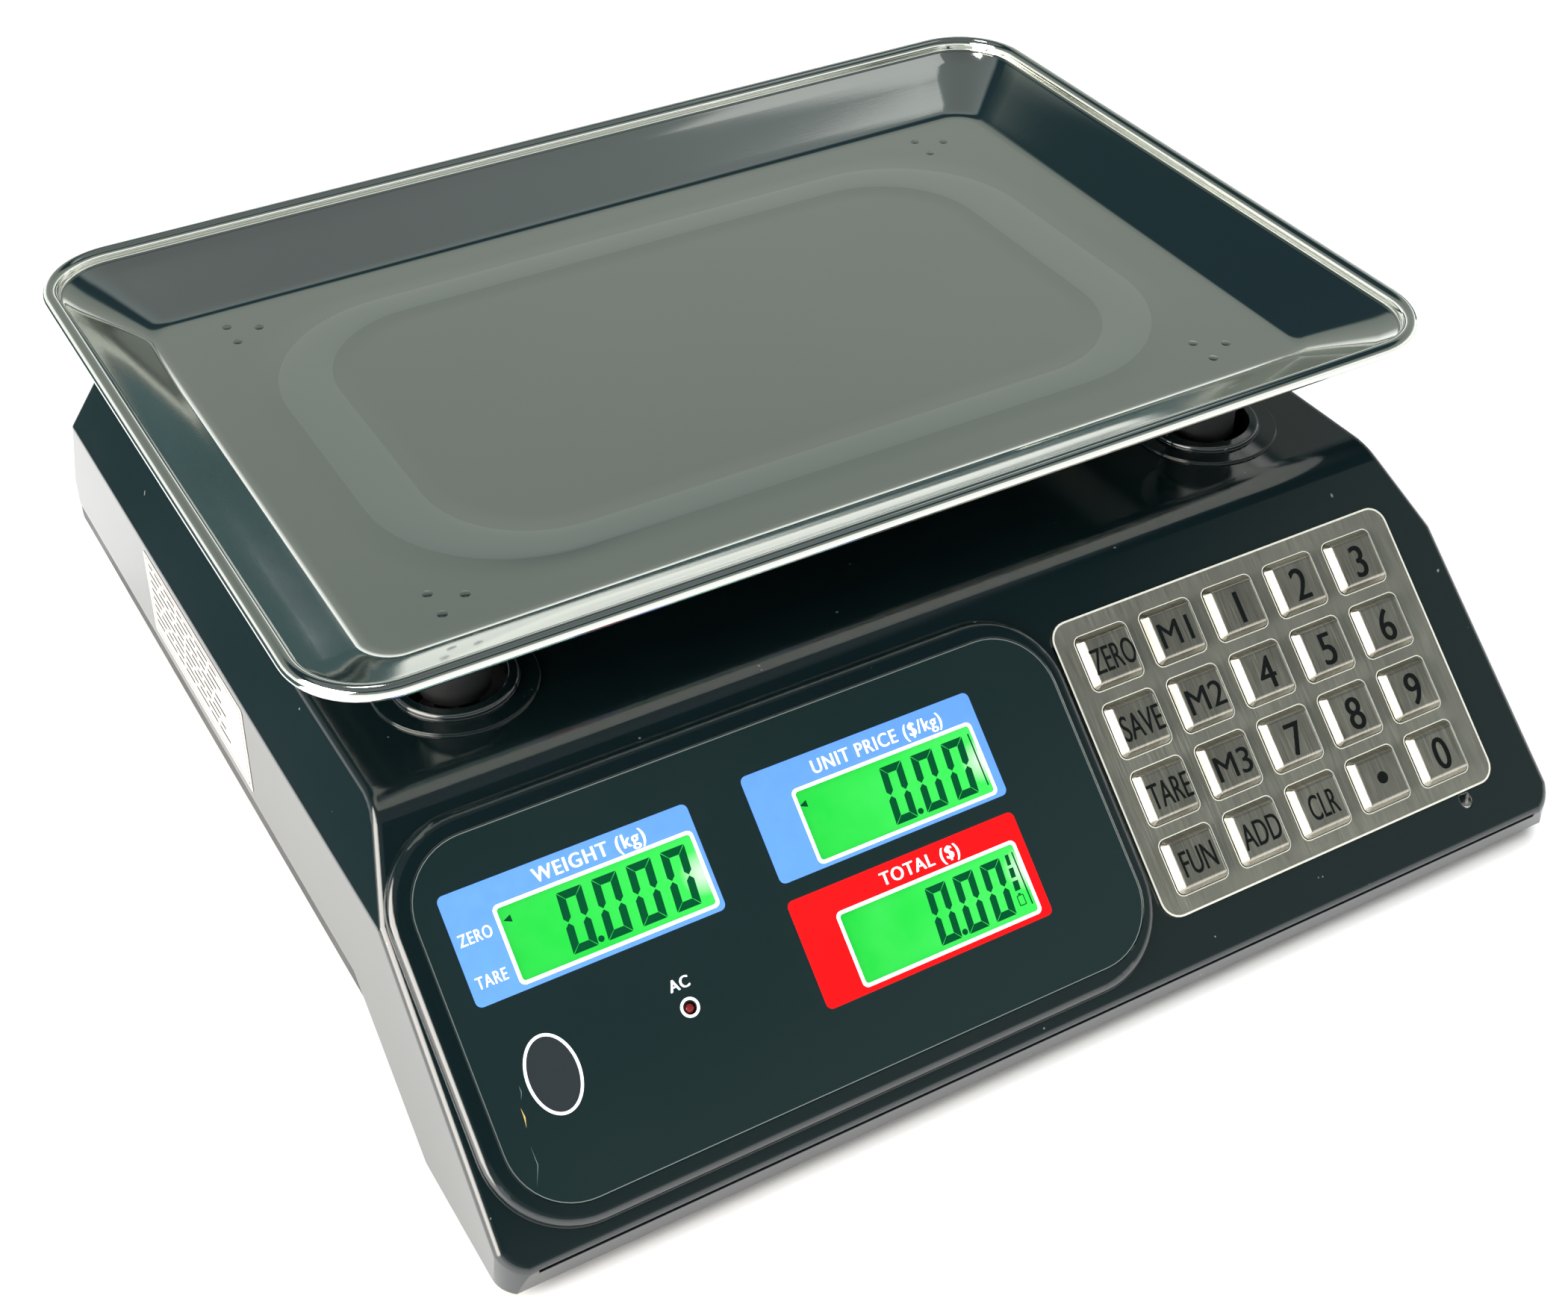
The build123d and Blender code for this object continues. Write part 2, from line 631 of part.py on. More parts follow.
with BuildPart() as load_cell:
    with BuildSketch(Plane.XY.offset(CELL_Z)):
        with Locations((0, PAN_Y)):
            Rectangle(*CELL[:2])
        with Locations(*fixed_bolts, *platform_bolts):
            Circle(CELL_BOLT_R, mode=Mode.SUBTRACT)
    extrude(amount=CELL[2])
    # the pair of joined bores that leaves four thin bending webs
    with BuildSketch(Plane.XZ.offset(-PAN_Y)):
        with Locations((-CELL_BORE_X, CELL_Z + CELL[2] / 2), (CELL_BORE_X, CELL_Z + CELL[2] / 2)):
            Circle(CELL_BORE_R)
        with Locations((0, CELL_Z + CELL[2] / 2)):
            Rectangle(2 * CELL_BORE_X, CELL_BORE_R)
    extrude(amount=CELL[1], both=True, mode=Mode.SUBTRACT)
save(load_cell.part, "load_cell")

save(
    screws(fixed_bolts, BASE_PLATE_Z, CELL_BOLT_LENGTH, CELL_HEAD_R, CELL_HEAD, CELL_BOLT_R - 0.05, 1),
    "load_cell_bolts",
)
save(
    screws(
        plate_screws, BASE_PLATE_Z + BASE_PLATE_THICK, PLATE_SCREW_DEPTH,
        SCREW_HEAD_R, SCREW_HEAD, SCREW_R, -1
    ),
    "base_plate_screws",
)

with BuildPart() as platform_spacer:
    with BuildSketch(Plane.XY.offset(CELL_Z + CELL[2])):
        with Locations((CELL_BOLT_X, PAN_Y)):
            Rectangle(*SPACER)
        with Locations(*platform_bolts):
            Circle(CELL_BOLT_R + 0.1, mode=Mode.SUBTRACT)
    extrude(amount=SPIDER_Z - CELL_Z - CELL[2])
save(platform_spacer.part, "platform_spacer")

arm_angle = math.degrees(math.atan2(POST_Y, POST_X))
with BuildPart() as spider:
    with BuildSketch(Plane.XY.offset(SPIDER_Z)):
        with Locations((0, PAN_Y)):
            SlotCenterToCenter(2 * math.hypot(POST_X, POST_Y), SPIDER_ARM, rotation=arm_angle)
            SlotCenterToCenter(2 * math.hypot(POST_X, POST_Y), SPIDER_ARM, rotation=-arm_angle)
            RectangleRounded(*SPIDER_HUB)
        with Locations(*platform_bolts):
            Circle(CELL_BOLT_R + 0.1, mode=Mode.SUBTRACT)
    extrude(amount=SPIDER_THICK)
    # ribbed casting: pockets from below along each arm
    with BuildSketch(Plane.XY.offset(SPIDER_Z)):
        for sx in (-1, 1):
            for sy in (-1, 1):
                with Locations((sx * POST_X * SPIDER_POCKET_AT, PAN_Y + sy * POST_Y * SPIDER_POCKET_AT)):
                    SlotOverall(*SPIDER_POCKET, rotation=sx * sy * arm_angle)
    extrude(amount=SPIDER_THICK - SPIDER_TOP, mode=Mode.SUBTRACT)
save(spider.part, "platform_spider")

with BuildPart() as platform_posts:
    with BuildSketch(Plane.XY.offset(SPIDER_Z + SPIDER_THICK)):
        with Locations(*posts):
            Circle(POST_R)
    extrude(amount=POST_TOP_Z - SPIDER_Z - SPIDER_THICK)
save(platform_posts.part, "platform_posts")

with BuildPart() as post_caps:
    with BuildSketch(Plane.XY.offset(CAP_FOOT_Z)):
        with Locations(*posts):
            Circle(CAP_R)
    extrude(amount=PAN_UNDER_Z - CAP_FOOT_Z)
    rims = post_caps.edges().filter_by(GeomType.CIRCLE)
    chamfer(rims.filter_by_position(Axis.Z, CAP_FOOT_Z - 0.1, CAP_FOOT_Z + 0.1), 1.0)
    with BuildSketch(Plane.XY.offset(CAP_FOOT_Z)):
        with Locations(*posts):
            Circle(POST_R)
    extrude(amount=POST_TOP_Z - CAP_FOOT_Z, mode=Mode.SUBTRACT)
save(post_caps.part, "post_caps")

save(
    screws(
        platform_bolts, SPIDER_Z + SPIDER_THICK, CELL_BOLT_LENGTH,
        CELL_HEAD_R, CELL_HEAD, CELL_BOLT_R - 0.05, -1
    ),
    "platform_bolts",
)


# ---------------------------------------------------------------- pan
def dish(length, width, corner, floor_length, floor_width, floor_corner, top_z, floor_z):
    """A shallow tapered block between the rim's rectangle and the floor's."""
    with BuildPart() as block:
        with BuildSketch(Plane.XY.offset(top_z)):
            with Locations((0, PAN_Y)):
                RectangleRounded(length, width, corner)
        with BuildSketch(Plane.XY.offset(floor_z)):
            with Locations((0, PAN_Y)):
                RectangleRounded(floor_length, floor_width, floor_corner)
        loft()
    return block.part


lip_length = PAN_LENGTH - 2 * LIP_INSET
lip_width = PAN_WIDTH - 2 * LIP_INSET
lip_z = PAN_TOP_Z - LIP_DROP
lip_corner = PAN_CORNER_R - LIP_INSET
with BuildSketch(Plane.XY.offset(PAN_TOP_Z - BEAD_R)) as rim_outline:
    with Locations((0, PAN_Y)):
        RectangleRounded(PAN_LENGTH - 2 * BEAD_R, PAN_WIDTH - 2 * BEAD_R, PAN_CORNER_R - BEAD_R)
with BuildPart() as pan:
    add(
        dish(
            lip_length + 1.2, lip_width + 1.2, lip_corner + 0.6,
            PAN_FLOOR_LENGTH + 1.2, PAN_FLOOR_WIDTH + 1.2, PAN_FLOOR_R + 0.6,
            lip_z, PAN_UNDER_Z,
        )
    )
    # flange that turns out from the wall to the rolled rim
    with BuildSketch(Plane.XY.offset(lip_z - SHEET)):
        with Locations((0, PAN_Y)):
            RectangleRounded(PAN_LENGTH - BEAD_R, PAN_WIDTH - BEAD_R, PAN_CORNER_R - BEAD_R / 2)
    extrude(amount=SHEET)
    # rolled rim
    with BuildSketch(Plane.XZ.offset(-PAN_Y)):
        with Locations((PAN_LENGTH / 2 - BEAD_R, PAN_TOP_Z - BEAD_R)):
            Circle(BEAD_R)
    sweep(path=rim_outline.sketch.face().outer_wire())
    add(
        dish(
            lip_length, lip_width, lip_corner,
            PAN_FLOOR_LENGTH, PAN_FLOOR_WIDTH, PAN_FLOOR_R,
            lip_z + 0.01, PAN_FLOOR_Z,
        ),
        mode=Mode.SUBTRACT,
    )
    with BuildSketch(Plane.XY.offset(PAN_FLOOR_Z)):
        with Locations((0, PAN_Y)):
            RectangleRounded(*BAND_OUTER)
            RectangleRounded(*BAND_INNER, mode=Mode.SUBTRACT)
    extrude(amount=BAND_RISE)
    # spot-weld marks where the locating cups are fixed below
    with BuildSketch(Plane.XY.offset(PAN_FLOOR_Z - WELD_DEPTH)):
        for place in posts:
            with Locations(place):
                with PolarLocations(WELD_CIRCLE_R, 3):
                    Circle(WELD_R)
    extrude(amount=WELD_DEPTH + BAND_RISE + 0.1, mode=Mode.SUBTRACT)
save(pan.part, "pan")

with BuildPart() as pan_locators:
    with BuildSketch(Plane.XY.offset(PAN_UNDER_Z - LOCATOR_DEPTH)):
        with Locations(*posts):
            Circle(LOCATOR_R)
            Circle(CAP_R + 0.5, mode=Mode.SUBTRACT)
    extrude(amount=LOCATOR_DEPTH)
    with BuildSketch(Plane.XY.offset(PAN_UNDER_Z - SHEET)):
        with Locations(*posts):
            Circle(LOCATOR_R + 4)
            Circle(CAP_R + 0.5, mode=Mode.SUBTRACT)
    extrude(amount=SHEET)
save(pan_locators.part, "pan_locators")

# ---------------------------------------------------------------- operator's display
with BuildPart() as display_overlay:
    with BuildSketch(panel_plane(OVERLAY_BED)):
        with Locations(on_panel(*OVERLAY[:2])):
            RectangleRounded(*OVERLAY[2:])
        with Locations(*[on_panel(*place) for place in windows]):
            RectangleRounded(*WINDOW, mode=Mode.SUBTRACT)
        with Locations(on_panel(*LED_AT)):
            Circle(LED_R + 0.1, mode=Mode.SUBTRACT)
    extrude(amount=OVERLAY_THICK)
save(display_overlay.part, "display_overlay")


def slab(plane, places, length, width, thick):
    """Flat rectangular pieces that hang from a plane at the given places."""
    with BuildPart() as group:
        with BuildSketch(plane):
            with Locations(*places):
                Rectangle(length, width)
        extrude(amount=-thick)
    return group.part


for name, place in (("weight", WEIGHT_AT), ("unit_price", UNIT_PRICE_AT), ("total", TOTAL_AT)):
    save(slab(panel_plane(LCD_TOP), [on_panel(*place)], *LCD), f"{name}_lcd")
save(
    slab(
        panel_plane(LCD_TOP - LCD[2]), [on_panel(*place) for place in windows],
        LCD[0], LCD[1], BACKLIGHT_THICK,
    ),
    "lcd_backlights",
)
save(
    slab(panel_plane(DISPLAY_BOARD_TOP), [on_panel(*DISPLAY_BOARD_AT)], *DISPLAY_BOARD, BOARD_THICK),
    "front_display_board",
)

with BuildPart() as status_led:
    with BuildSketch(panel_plane(DISPLAY_BOARD_TOP)):
        with Locations(on_panel(*LED_AT)):
            Circle(LED_R)
    extrude(amount=OVERLAY_BED + OVERLAY_THICK - DISPLAY_BOARD_TOP - 0.2)
    tip = status_led.edges().filter_by(GeomType.CIRCLE).group_by(Axis.Z)[-1]
    fillet(tip, LED_R - 0.2)
save(status_led.part, "power_led")

# ---------------------------------------------------------------- keypad
key_places = {
    name: (
        KEYS_AT[0] + (column - (len(row_names) - 1) / 2) * KEY_PITCH_X,
        KEYS_AT[1] + (row - (len(KEY_NAMES) - 1) / 2) * KEY_PITCH_Y,
    )
    for row, row_names in enumerate(KEY_NAMES)
    for column, name in enumerate(row_names)
}

with BuildPart() as keypad_plate:
    with BuildSketch(PANEL):
        with Locations(on_panel(*PLATE_AT)):
            RectangleRounded(*PLATE)
        with Locations(*[on_panel(*place) for place in key_places.values()]):
            RectangleRounded(
                KEY[0] + 2 * KEY_GAP, KEY[1] + 2 * KEY_GAP, KEY_CORNER + KEY_GAP, mode=Mode.SUBTRACT
            )
    extrude(amount=PLATE_THICK)
save(keypad_plate.part, "keypad_plate")

for name, place in key_places.items():
    with BuildPart() as key:
        with BuildSketch(panel_plane(KEY_FOOT_Z)):
            with Locations(on_panel(*place)):
                RectangleRounded(*KEY, KEY_CORNER)
        extrude(amount=KEY_FLANK_Z - KEY_FOOT_Z)
        with BuildSketch(panel_plane(KEY_FLANK_Z)):
            with Locations(on_panel(*place)):
                RectangleRounded(*KEY, KEY_CORNER)
        extrude(amount=KEY_RISE - KEY_FLANK_Z, taper=KEY_DRAFT)
        fillet(key.faces().filter_by(is_key_top)[0].edges(), KEY_TOP_R)
        with BuildSketch(panel_plane(KEY_FOOT_Z)):
            with Locations(on_panel(*place)):
                Rectangle(KEY[0] + 2 * KEY_FLANGE, KEY[1] + 2 * KEY_FLANGE)
        extrude(amount=-KEY_FLANGE_THICK)
        with BuildSketch(panel_plane(KEY_FOOT_Z - KEY_FLANGE_THICK)):
            with Locations(on_panel(*place)):
                Circle(KEY_STEM_R)
        extrude(amount=KEY_STEM_END - KEY_FOOT_Z + KEY_FLANGE_THICK)
    save(key.part, f"key_{name}")

with BuildPart() as keypad_mat:
    with BuildSketch(panel_plane(KEY_BOARD_TOP)):
        with Locations(on_panel(*KEYS_AT)):
            Rectangle(KEY_OPENING[0] - 2 * MAT_MARGIN, KEY_OPENING[1] - 2 * MAT_MARGIN)
    extrude(amount=MAT_THICK)
    with BuildSketch(panel_plane(KEY_BOARD_TOP + MAT_THICK)):
        with Locations(*[on_panel(*place) for place in key_places.values()]):
            Circle(MAT_DOME_R)
    extrude(amount=KEY_STEM_END - KEY_BOARD_TOP - MAT_THICK, taper=MAT_DOME_TAPER)
save(keypad_mat.part, "keypad_mat")
save(
    slab(panel_plane(KEY_BOARD_TOP), [on_panel(*KEYS_AT)], *KEY_BOARD, BOARD_THICK),
    "keypad_board",
)

# ---------------------------------------------------------------- customer's display on the back
with BuildPart() as rear_overlay:
    with BuildSketch(BACK.offset(-REAR_RECESS)):
        with Locations(REAR_AT):
            RectangleRounded(*REAR_OVERLAY)
        with Locations(*rear_windows):
            RectangleRounded(*WINDOW, mode=Mode.SUBTRACT)
    extrude(amount=OVERLAY_THICK)
save(rear_overlay.part, "rear_overlay")
save(slab(BACK.offset(-REAR_RECESS - 0.1), rear_windows, *LCD), "rear_lcds")
save(slab(BACK.offset(REAR_BOARD_TOP), [REAR_AT], *REAR_BOARD, BOARD_THICK), "rear_display_board")

# ---------------------------------------------------------------- power and electronics in the tray
with BuildPart() as battery:
    with BuildSketch(Plane.XY.offset(FLOOR_Z)):
        with Locations(BATTERY_AT):
            RectangleRounded(BATTERY[0], BATTERY[1], BATTERY_CORNER)
    extrude(amount=BATTERY[2])
    with BuildSketch(Plane.YZ.offset(BATTERY_AT[0] + BATTERY[0] / 2)):
        terminals = [(BATTERY_AT[1] + side * TERMINAL_SPREAD, FLOOR_Z + TERMINAL_HEIGHT) for side in (-1, 1)]
        with Locations(*terminals):
            Rectangle(*TERMINAL[:2])
    extrude(amount=TERMINAL[2])
save(battery.part, "battery")

strap_half = BATTERY[1] / 2
with BuildPart() as battery_strap:
    with BuildSketch(Plane.YZ.offset(BATTERY_AT[0] - STRAP_WIDTH / 2)):
        with BuildLine():
            Polyline(
                *[(BATTERY_AT[1] + y, FLOOR_Z + z) for y, z in strap_outline(strap_half, BATTERY[2])],
                close=True,
            )
        make_face()
    extrude(amount=STRAP_WIDTH)
save(battery_strap.part, "battery_strap")

save(
    slab(Plane.XY.offset(MAIN_BOARD_Z + BOARD_THICK), [MAIN_BOARD_AT], *MAIN_BOARD, BOARD_THICK),
    "main_board",
)

with BuildPart() as transformer:
    with BuildSketch(Plane.XY.offset(FLOOR_Z)):
        with Locations(TRANSFORMER_AT):
            Rectangle(*TRANSFORMER[:2])
    extrude(amount=TRANSFORMER[2])
    with BuildSketch(Plane.XY.offset(FLOOR_Z + TRANSFORMER_COIL_Z)):
        with Locations(TRANSFORMER_AT):
            RectangleRounded(*TRANSFORMER_COIL)
    extrude(amount=TRANSFORMER[2] - 2 * TRANSFORMER_COIL_Z)
save(transformer.part, "transformer")

inlet_plane = Plane.YZ.offset(SIDE_FACE_X)
with BuildPart() as power_inlet:
    with BuildSketch(inlet_plane.offset(-FLANGE_THICK)):
        with Locations((INLET_Y, SIDE_FITTING_Z)):
            RectangleRounded(*INLET_FLANGE, 1.5)
    extrude(amount=FLANGE_THICK)
    with BuildSketch(inlet_plane.offset(-FLANGE_THICK)):
        with Locations((INLET_Y, SIDE_FITTING_Z)):
            Rectangle(*INLET_BODY)
    extrude(amount=-INLET_DEPTH)
    with BuildSketch(inlet_plane):
        with Locations((INLET_Y, SIDE_FITTING_Z)):
            RectangleRounded(*INLET_SOCKET, 2.5)
    extrude(amount=-SOCKET_DEPTH, mode=Mode.SUBTRACT)
    with BuildSketch(inlet_plane.offset(-SOCKET_DEPTH)):
        with Locations(*inlet_pins):
            Rectangle(*PIN)
    extrude(amount=-INLET_DEPTH, mode=Mode.SUBTRACT)
save(power_inlet.part, "power_inlet")

with BuildPart() as pins:
    with BuildSketch(inlet_plane.offset(-PIN_RECESS)):
        with Locations(*inlet_pins):
            Rectangle(*PIN)
    extrude(amount=-PIN_LENGTH)
save(pins.part, "inlet_pins")

with BuildPart() as power_switch:
    with BuildSketch(inlet_plane.offset(-FLANGE_THICK)):
        with Locations((SWITCH_Y, SIDE_FITTING_Z)):
            RectangleRounded(*SWITCH_FLANGE, 1.5)
    extrude(amount=FLANGE_THICK)
    with BuildSketch(inlet_plane.offset(-FLANGE_THICK)):
        with Locations((SWITCH_Y, SIDE_FITTING_Z)):
            Rectangle(*SWITCH_BODY)
    extrude(amount=-SWITCH_DEPTH)
    with BuildSketch(inlet_plane):
        with Locations((SWITCH_Y, SIDE_FITTING_Z)):
            Rectangle(*SWITCH_MOUTH)
    extrude(amount=-SWITCH_DEPTH, mode=Mode.SUBTRACT)
save(power_switch.part, "power_switch")

# drawn with its "on" end pressed in
rocker_plane = Plane(
    origin=(ROCKER_AXIS_X, SWITCH_Y, SIDE_FITTING_Z - ROCKER[1] / 2), x_dir=(1, 0, 0), z_dir=(0, 0, 1)
).rotated((0, 0, ROCKER_TILT))
with BuildPart() as power_rocker:
    with BuildSketch(rocker_plane):
        with BuildLine():
            Polyline(*rocker_outline, close=True)
        make_face()
    extrude(amount=ROCKER[1])
save(power_rocker.part, "power_rocker")
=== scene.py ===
"""Retail price scale: finishes, printed panels, pan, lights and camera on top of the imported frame."""

import json
import math

import bpy
from mathutils import Matrix, Vector


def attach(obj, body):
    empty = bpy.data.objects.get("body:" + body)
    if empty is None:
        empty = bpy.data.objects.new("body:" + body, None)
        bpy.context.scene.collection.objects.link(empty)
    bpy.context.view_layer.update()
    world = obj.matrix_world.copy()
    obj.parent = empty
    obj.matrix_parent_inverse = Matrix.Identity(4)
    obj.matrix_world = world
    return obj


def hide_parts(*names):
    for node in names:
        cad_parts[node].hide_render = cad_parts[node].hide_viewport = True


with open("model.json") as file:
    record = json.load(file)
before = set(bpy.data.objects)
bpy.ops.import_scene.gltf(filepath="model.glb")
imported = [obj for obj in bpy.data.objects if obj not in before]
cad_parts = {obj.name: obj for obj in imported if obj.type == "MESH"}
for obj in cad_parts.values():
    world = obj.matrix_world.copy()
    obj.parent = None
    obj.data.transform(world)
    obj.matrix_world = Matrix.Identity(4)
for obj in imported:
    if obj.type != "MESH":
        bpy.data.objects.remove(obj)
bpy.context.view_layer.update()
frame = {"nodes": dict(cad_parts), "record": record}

MM = 0.001

# ---------------------------------------------------------------- dimensions shared with the CAD, mm
SLOPE = math.radians(42)
CREASE = (0.0, -81.5, 93.0)  # where the flat top meets the front panel
BACK_EDGE = (0.0, 146.0, 93.0)  # where the flat top meets the sloping back
BACK_RUN = 23.0
BACK_FALL = 51.0
OVERLAY_TOP = 2.4  # above the front panel
GLASS_TOP = 1.5
BACK_OVERLAY_TOP = -0.2
BACK_GLASS_TOP = -1.1
KEY_TOP = 3.4

PAN_Y = 27.0
PAN_TOP = 134.5
PAN_LENGTH = 340.0
PAN_WIDTH = 240.0
PAN_CORNER = 24.0
PAN_DEPTH = 15.5
FLOOR_LENGTH = 290.0
FLOOR_WIDTH = 182.0
FLOOR_CORNER = 9.0
BEAD = 2.3
SHEET = 0.8
LIP_INSET = 5.0
LIP_DROP = 4.3
POSTS = [(sx * 120.3, PAN_Y + sy * 75.6) for sx in (-1, 1) for sy in (-1, 1)]

WEIGHT_AT = (-111.4, 44.1)
UNIT_PRICE_AT = (-27.8, 44.1)
TOTAL_AT = (-29.0, 77.3)
LED_AT = (-101.3, 74.7)
KEYS_AT = (90.8, 61.0)
KEY_PITCH = (21.7, 19.85)
KEY_ROWS = (
    ("zero", "m1", "1", "2", "3"),
    ("save", "m2", "4", "5", "6"),
    ("tare", "m3", "7", "8", "9"),
    ("function", "add", "clear", "point", "0"),
)
KEY_WORDS = {"function": "FUN", "clear": "CLR"}

WHITE_INK = "white_ink_painted_glow"
BLUE_INK = "blue_ink_painted_glow"
RED_INK = "red_ink_painted_glow"
DARK_INK = "dark_ink"


# ---------------------------------------------------------------- material helpers
def node(tree, kind, **values):
    """A shader node with its inputs and properties set by name."""
    made = tree.nodes.new(kind)
    for name, value in values.items():
        label = name.replace("_", " ")
        if label in made.inputs:
            made.inputs[label].default_value = value
        else:
            setattr(made, name, value)
    return made


def linear(red, green, blue):
    """Display values from 0 to 255 as a linear colour with alpha."""
    channels = []
    for value in (red, green, blue):
        value /= 255
        channels.append(value / 12.92 if value <= 0.04045 else ((value + 0.055) / 1.055) ** 2.4)
    return (*channels, 1.0)


def scaled(colour, factor):
    """The same colour made darker or lighter."""
    return (*(min(1.0, channel * factor) for channel in colour[:3]), 1.0)


def new_material(name, colour, roughness, metallic=0.0, specular=0.5):
    """A principled material; returns it with its tree and shader."""
    made = bpy.data.materials.new(name)
    made.use_nodes = True
    tree = made.node_tree
    shader = tree.nodes["Principled BSDF"]
    shader.inputs["Base Color"].default_value = colour
    shader.inputs["Roughness"].default_value = roughness
    shader.inputs["Metallic"].default_value = metallic
    shader.inputs["Specular IOR Level"].default_value = specular
    return made, tree, shader


def noise(tree, scale, stretch=(1, 1, 1), detail=3.0, turn=(0, 0, 0)):
    """Noise in object space, stretched along the axes; scale is in cells per metre."""
    place = tree.nodes.new("ShaderNodeTexCoord")
    mapping = node(tree, "ShaderNodeMapping")
    mapping.inputs["Scale"].default_value = stretch
    mapping.inputs["Rotation"].default_value = turn
    texture = node(tree, "ShaderNodeTexNoise", Scale=scale, Detail=detail)
    tree.links.new(place.outputs["Object"], mapping.inputs["Vector"])
    tree.links.new(mapping.outputs["Vector"], texture.inputs["Vector"])
    return texture.outputs["Fac"]


def spread(tree, value, low, high, start=0.3, end=0.7):
    """Maps a value between start and end onto low to high."""
    made = node(tree, "ShaderNodeMapRange")
    made.inputs["From Min"].default_value = start
    made.inputs["From Max"].default_value = end
    made.inputs["To Min"].default_value = low
    made.inputs["To Max"].default_value = high
    tree.links.new(value, made.inputs["Value"])
    return made.outputs["Result"]


def tint(tree, value, first, second):
    """A colour between two, by a value from 0 to 1; first may be another node's colour."""
    made = node(tree, "ShaderNodeMix", data_type="RGBA")
    if isinstance(first, bpy.types.NodeSocket):
        tree.links.new(first, made.inputs[6])
    else:
        made.inputs[6].default_value = first
    made.inputs[7].default_value = second
    tree.links.new(value, made.inputs[0])
    return made.outputs[2]


def grain(tree, shader, value, distance, strength=1.0, edge=0.0):
    """Bump from a value; edge is the radius that rounds the hard corners of the solid, in metres."""
    bump = node(tree, "ShaderNodeBump", Strength=strength, Distance=distance)
    tree.links.new(value, bump.inputs["Height"])
    if edge:
        bevel = node(tree, "ShaderNodeBevel", samples=4, Radius=edge)
        tree.links.new(bevel.outputs["Normal"], bump.inputs["Normal"])
    tree.links.new(bump.outputs["Normal"], shader.inputs["Normal"])


# ---------------------------------------------------------------- materials
# depths of bump and radii of rounded edges are in metres here
ANISOTROPY = 0.6  # how far brushed sheet draws out what it mirrors


def gloss_plastic(name, colour, dusty, roughness, specular=0.5):
    """Moulded gloss plastic: faint mould waviness, patchy gloss and a few specks of dust."""
    made, tree, shader = new_material(name, colour, roughness, specular=specular)
    patches = noise(tree, 14, detail=4)
    tree.links.new(spread(tree, patches, roughness * 0.7, roughness * 1.6), shader.inputs["Roughness"])
    dust = spread(tree, noise(tree, 420, detail=1), 0, 0.5, 0.79, 0.84)
    tree.links.new(tint(tree, dust, colour, dusty), shader.inputs["Base Color"])
    grain(tree, shader, noise(tree, 55, detail=2), 0.00002, edge=0.0005)
    return made


def matte_plastic(name, colour, roughness):
    """Spark-eroded texture with slightly uneven colour."""
    made, tree, shader = new_material(name, colour, roughness)
    lighter = scaled(colour, 1.6)
    tree.links.new(tint(tree, noise(tree, 25, detail=5), colour, lighter), shader.inputs["Base Color"])
    worn = spread(tree, noise(tree, 40), roughness * 0.85, roughness * 1.1)
    tree.links.new(worn, shader.inputs["Roughness"])
    grain(tree, shader, noise(tree, 1500, detail=1), 0.00006, edge=0.0004)
    return made


def rubber(name, colour):
    """Moulded rubber, mottled and finely rough."""
    made, tree, shader = new_material(name, colour, 0.55, specular=0.35)
    lighter = scaled(colour, 2.2)
    tree.links.new(tint(tree, noise(tree, 120, detail=5), colour, lighter), shader.inputs["Base Color"])
    grain(tree, shader, noise(tree, 2200, detail=2), 0.00005, edge=0.0005)
    return made


def polished_steel(name, low=linear(205, 208, 199), high=linear(222, 223, 216)):
    """Mirror-polished stainless sheet: hairline scratches, fingerprints."""
    made, tree, shader = new_material(name, high, 0.05, metallic=1.0)
    smears = noise(tree, 9, detail=6)
    tree.links.new(spread(tree, smears, 0.04, 0.1), shader.inputs["Roughness"])
    cloudy = noise(tree, 5, detail=4)
    tree.links.new(tint(tree, cloudy, low, high), shader.inputs["Base Color"])
    lines = noise(tree, 90, stretch=(1, 40, 1), detail=5)
    grain(tree, shader, lines, 0.000004, strength=0.6)
    return made


def brushed_steel(name, colour, roughness, stretch, contrast=0.8):
    """Brushed sheet: long fine lines, over patches that are a little darker and lighter."""
    made, tree, shader = new_material(name, colour, roughness, metallic=1.0)
    lines = noise(tree, 90, stretch=stretch, detail=4)
    darker = scaled(colour, contrast)
    dull = scaled(darker, 0.85)
    streaked = tint(tree, spread(tree, lines, 1, 0), colour, darker)
    patches = spread(tree, noise(tree, 70, detail=2), 0, 0.6)
    tree.links.new(tint(tree, patches, streaked, dull), shader.inputs["Base Color"])
    tree.links.new(spread(tree, lines, roughness * 0.85, roughness * 1.2), shader.inputs["Roughness"])
    across = tree.nodes.new("ShaderNodeCombineXYZ")
    across.inputs["X"].default_value = 1.0
    shader.inputs["Anisotropic"].default_value = ANISOTROPY
    tree.links.new(across.outputs["Vector"], shader.inputs["Tangent"])
    return made


def bare_metal(name, colour, roughness, cell=300, depth=0.00004):
    """Plated, cast or pickled metal, uneven in colour and gloss."""
    made, tree, shader = new_material(name, colour, roughness, metallic=1.0)
    mottle = noise(tree, cell, detail=5)
    darker = scaled(colour, 0.7)
    tree.links.new(tint(tree, mottle, darker, colour), shader.inputs["Base Color"])
    tree.links.new(spread(tree, mottle, roughness * 0.8, roughness * 1.3), shader.inputs["Roughness"])
    grain(tree, shader, mottle, depth, edge=0.0003)
    return made


